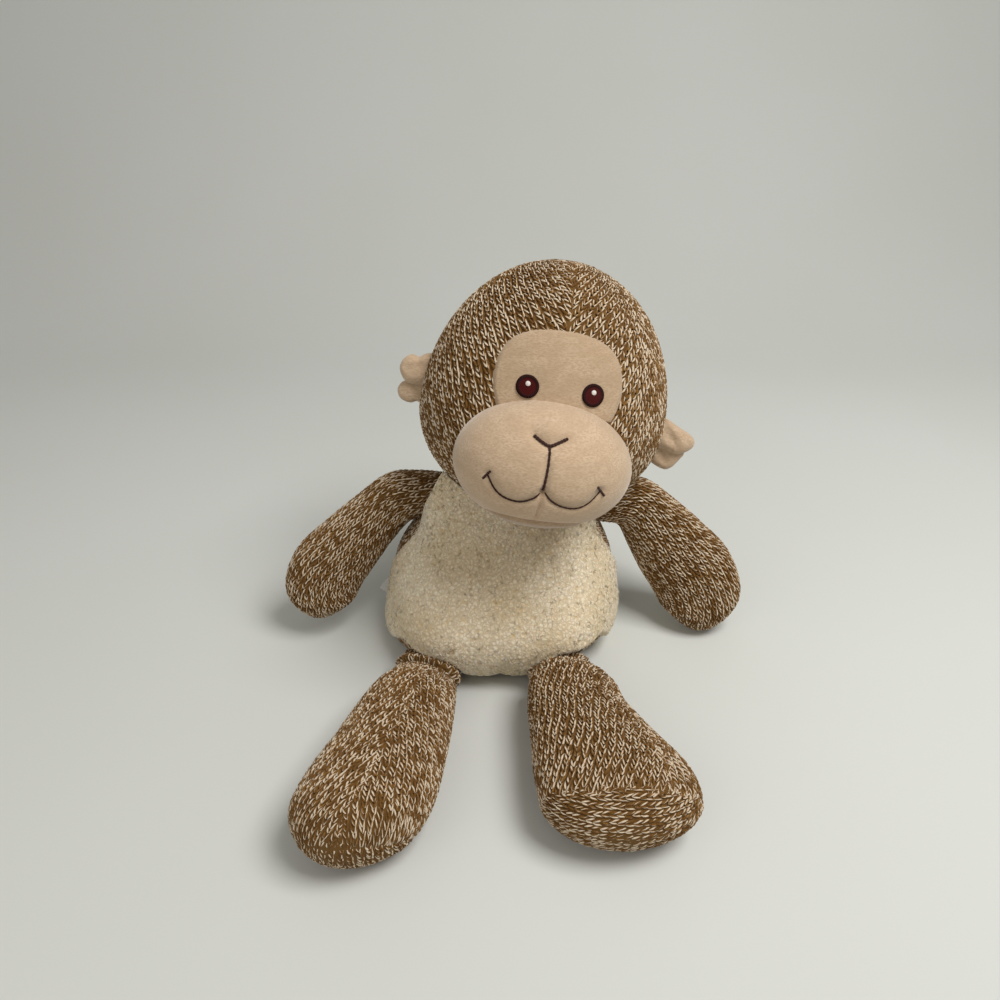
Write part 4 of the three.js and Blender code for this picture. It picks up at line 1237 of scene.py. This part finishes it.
def leg_pieces(side, limb, seed):
    """Cover and sole of one leg. The sole's seam is the plane y = sole y + lift - slope z, and the
    cover has a seam along its front, from which its wales lean. No stitch lies in the hip crease."""
    sole_y = limb.root[1] + rows_at(LEG_ROWS[side], np.array(SOLE_SHARE[side]))[1]

    def above_sole(place):
        return place[..., 1] - sole_y - SOLE_LIFT[side] + SOLE_SLOPE[side] * place[..., 2]

    def sink_cover(place, s, t):
        """Grooves of 0.6 mm at the sole and 0.5 exp(-(d / 1.2)^2) mm along the front seam."""
        sole_seam = 0.6 * (1 - smooth(-0.5, 2.5, above_sole(place)))
        return sole_seam + 0.5 * np.exp(-((s - FRONT_SEAM_AT[side]) / 1.2) ** 2)

    def in_panel(way):
        """Above the sole, on one side of the front seam and clear of the crease."""
        return lambda place, s, t: ((above_sole(place) > -1.4)
                                    & (way * (s - FRONT_SEAM_AT[side]) > -1.2)
                                    & (np.abs(limb.behind(place) - 0.4) > 1.3))

    def on_sole(p, q):
        """Below the seam's plane, within 40 mm of the tip."""
        return (above_sole(limb.dome(p, q)) < 0.6) & (np.hypot(p / limb.flatness, q) < 40)

    def sink_sole(p, q):
        """A groove of 0.5 mm at the seam."""
        return 0.5 * (1 - smooth(-0.5, 2.5, -above_sole(limb.dome(p, q))))

    panels = [limb_panel(limb, in_panel(way), sink_cover, lean)
              for way, lean in zip((-1, 1), FRONT_SEAM_LEANS[side])]
    cover = knitted(f"leg_cover_{side}", panels, limb.ground(0, 0.99 * limb.long, rows=200), seed)
    sole_panel = (limb.dome, on_sole, sink_sole, SOLE_BOX, SOLE_LEAN[side], LEG_GAUGE)
    sole_ground = limb.ground(0.8 * limb.long, limb.long, SOLE_CLOTH_DEPTH, 30)
    return cover, knitted(f"foot_sole_{side}", [sole_panel], sole_ground, seed + 10)


for number, (side, limb) in enumerate(legs.items()):
    cover, sole = leg_pieces(side, limb, 51 + number)
    end = limb.root + rows_at(LEG_ROWS[side], np.array(0.25))[:3]
    for piece in (cover, sole):
        piece.data.materials.append(knit_material)
    tuple(end * METRE)
    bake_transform(cover)
    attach(sole, f"leg_{side}")
    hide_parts(f"leg_cover_{side}", f"leg_filling_{side}")
    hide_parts(f"foot_sole_{side}")


# Tag. Real piece: a blank woven ribbon folded in two and caught in the side seam at the toy's
# right hip. Only its corner shows from the front.
TAG_AT = np.array([-63.3, 6.5, 14])
TAG_TURN = math.radians(35)
TAG_HALF_WIDTH = 8
TAG_HALF_HEIGHT = 5
TAG_WHITE = (0xdedfdc, 0xf1f1ee)
up, round_it = np.linspace(-TAG_HALF_HEIGHT, TAG_HALF_HEIGHT, 24), np.linspace(0, 2 * np.pi, 40)
v, u = np.meshgrid(up, round_it, indexing="ij")
across = TAG_HALF_WIDTH * np.cos(u) * (np.abs(np.cos(u)) ** 0.1)
fold = np.stack([across, 0.36 * np.sin(u) + 0.2 * np.sin(v / 3), v], axis=-1)
cos, sin = math.cos(TAG_TURN), math.sin(TAG_TURN)
ribbon = np.stack([fold[..., 0] * cos + fold[..., 2] * sin, fold[..., 1],
                   fold[..., 2] * cos - fold[..., 0] * sin], axis=-1) + TAG_AT
tag = mesh_piece("side_label", ribbon.reshape(-1, 3), grid_faces(24, 40))
tag_material, weave, tag_shader = new_material("tag_ribbon", Roughness=0.7, Sheen_Weight=0.2)
lines = weave.math("SINE", weave.noise(900, 0.0, (1, 1, 6)) * 6.0)
plug(tag_shader, Base_Color=lines.mix(*map(colour, TAG_WHITE)),
     Normal=weave.node("Bump", {}, {"Strength": 0.2, "Distance": 0.0002, "Height": lines}))
tag.data.materials.append(tag_material)
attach(tag, "torso")
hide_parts("side_label")


# Floor, light and camera: a plain pale sweep, one large soft light from the upper right and
# a weaker one from the left.
FLOOR_FRONT = -1500
FLOOR_RUN = 3600
FLOOR_HALF_WIDTH = 2500
SWEEP_AT = 430
SWEEP_RADIUS = 400
FLOOR_TONES = (0xd1d4cf, 0xd9dcda)
WORLD_TINT = (1.0, 0.96, 0.90, 1.0)
WORLD_STRENGTH = 0.32
LOOKED_AT = (0.0, 0.0, 0.08)
CAMERA_AT = (0.003, -0.370, 0.305)
CAMERA_DOWN = 31
CAMERA_LENS = 27.04
SENSOR_WIDTH = 36

# The floor runs back flat, bends up as a quarter of a circle and goes on as a wall.
depth, width = np.meshgrid(np.linspace(0, 1, 90), np.linspace(-FLOOR_HALF_WIDTH, FLOOR_HALF_WIDTH, 20),
                           indexing="ij")
run = depth * FLOOR_RUN + FLOOR_FRONT
bend = np.clip((run - SWEEP_AT) / SWEEP_RADIUS, 0, np.pi / 2)
wall = np.maximum(run - SWEEP_AT - SWEEP_RADIUS * np.pi / 2, 0)
y = np.where(run < SWEEP_AT, run, SWEEP_AT + SWEEP_RADIUS * np.sin(bend))
z = np.where(run < SWEEP_AT, -0.05, SWEEP_RADIUS * (1 - np.cos(bend)) + wall)
floor = mesh_piece("floor", np.stack([width, y, z], axis=-1).reshape(-1, 3), grid_faces(90, 20))
floor_material, plaster, floor_shader = new_material("pale_floor", Roughness=0.9, Specular_IOR_Level=0.1)
plug(floor_shader, Base_Color=plaster.noise(3, 2.0).mix(*map(colour, FLOOR_TONES)))
floor.data.materials.append(floor_material)


def area_light(name, place, target, size, power, tint):
    """A square soft light that looks from place to target, both in metres."""
    data = bpy.data.lights.new(name, "AREA")
    data.size, data.energy, data.color = size, power, tint
    lamp = bpy.data.objects.new(name, data)
    bpy.context.scene.collection.objects.link(lamp)
    way = np.array(target) - np.array(place)
    lamp.location = place
    tilt = math.acos(-way[2] / np.linalg.norm(way))
    lamp.rotation_euler = (tilt, 0, math.atan2(way[1], way[0]) - math.pi / 2)


area_light("key", (0.46, -0.24, 0.97), LOOKED_AT, size=0.5, power=8.4, tint=(1.0, 0.98, 0.95))
area_light("fill", (-0.6, -0.75, 0.55), LOOKED_AT, size=0.9, power=1.7, tint=(1.0, 0.97, 0.93))
world = bpy.data.worlds.new("room")
world.use_nodes = True
world.node_tree.nodes["Background"].inputs["Color"].default_value = WORLD_TINT
world.node_tree.nodes["Background"].inputs["Strength"].default_value = WORLD_STRENGTH
bpy.context.scene.world = world
bpy.context.scene.view_settings.view_transform = "Standard"

camera_data = bpy.data.cameras.new("camera")
camera_data.sensor_width = SENSOR_WIDTH
camera_data.lens = CAMERA_LENS
camera = bpy.data.objects.new("camera", camera_data)
bpy.context.scene.collection.objects.link(camera)
camera.location = CAMERA_AT
camera.rotation_euler = (math.radians(90 - CAMERA_DOWN), 0, 0)
bpy.context.scene.camera = camera
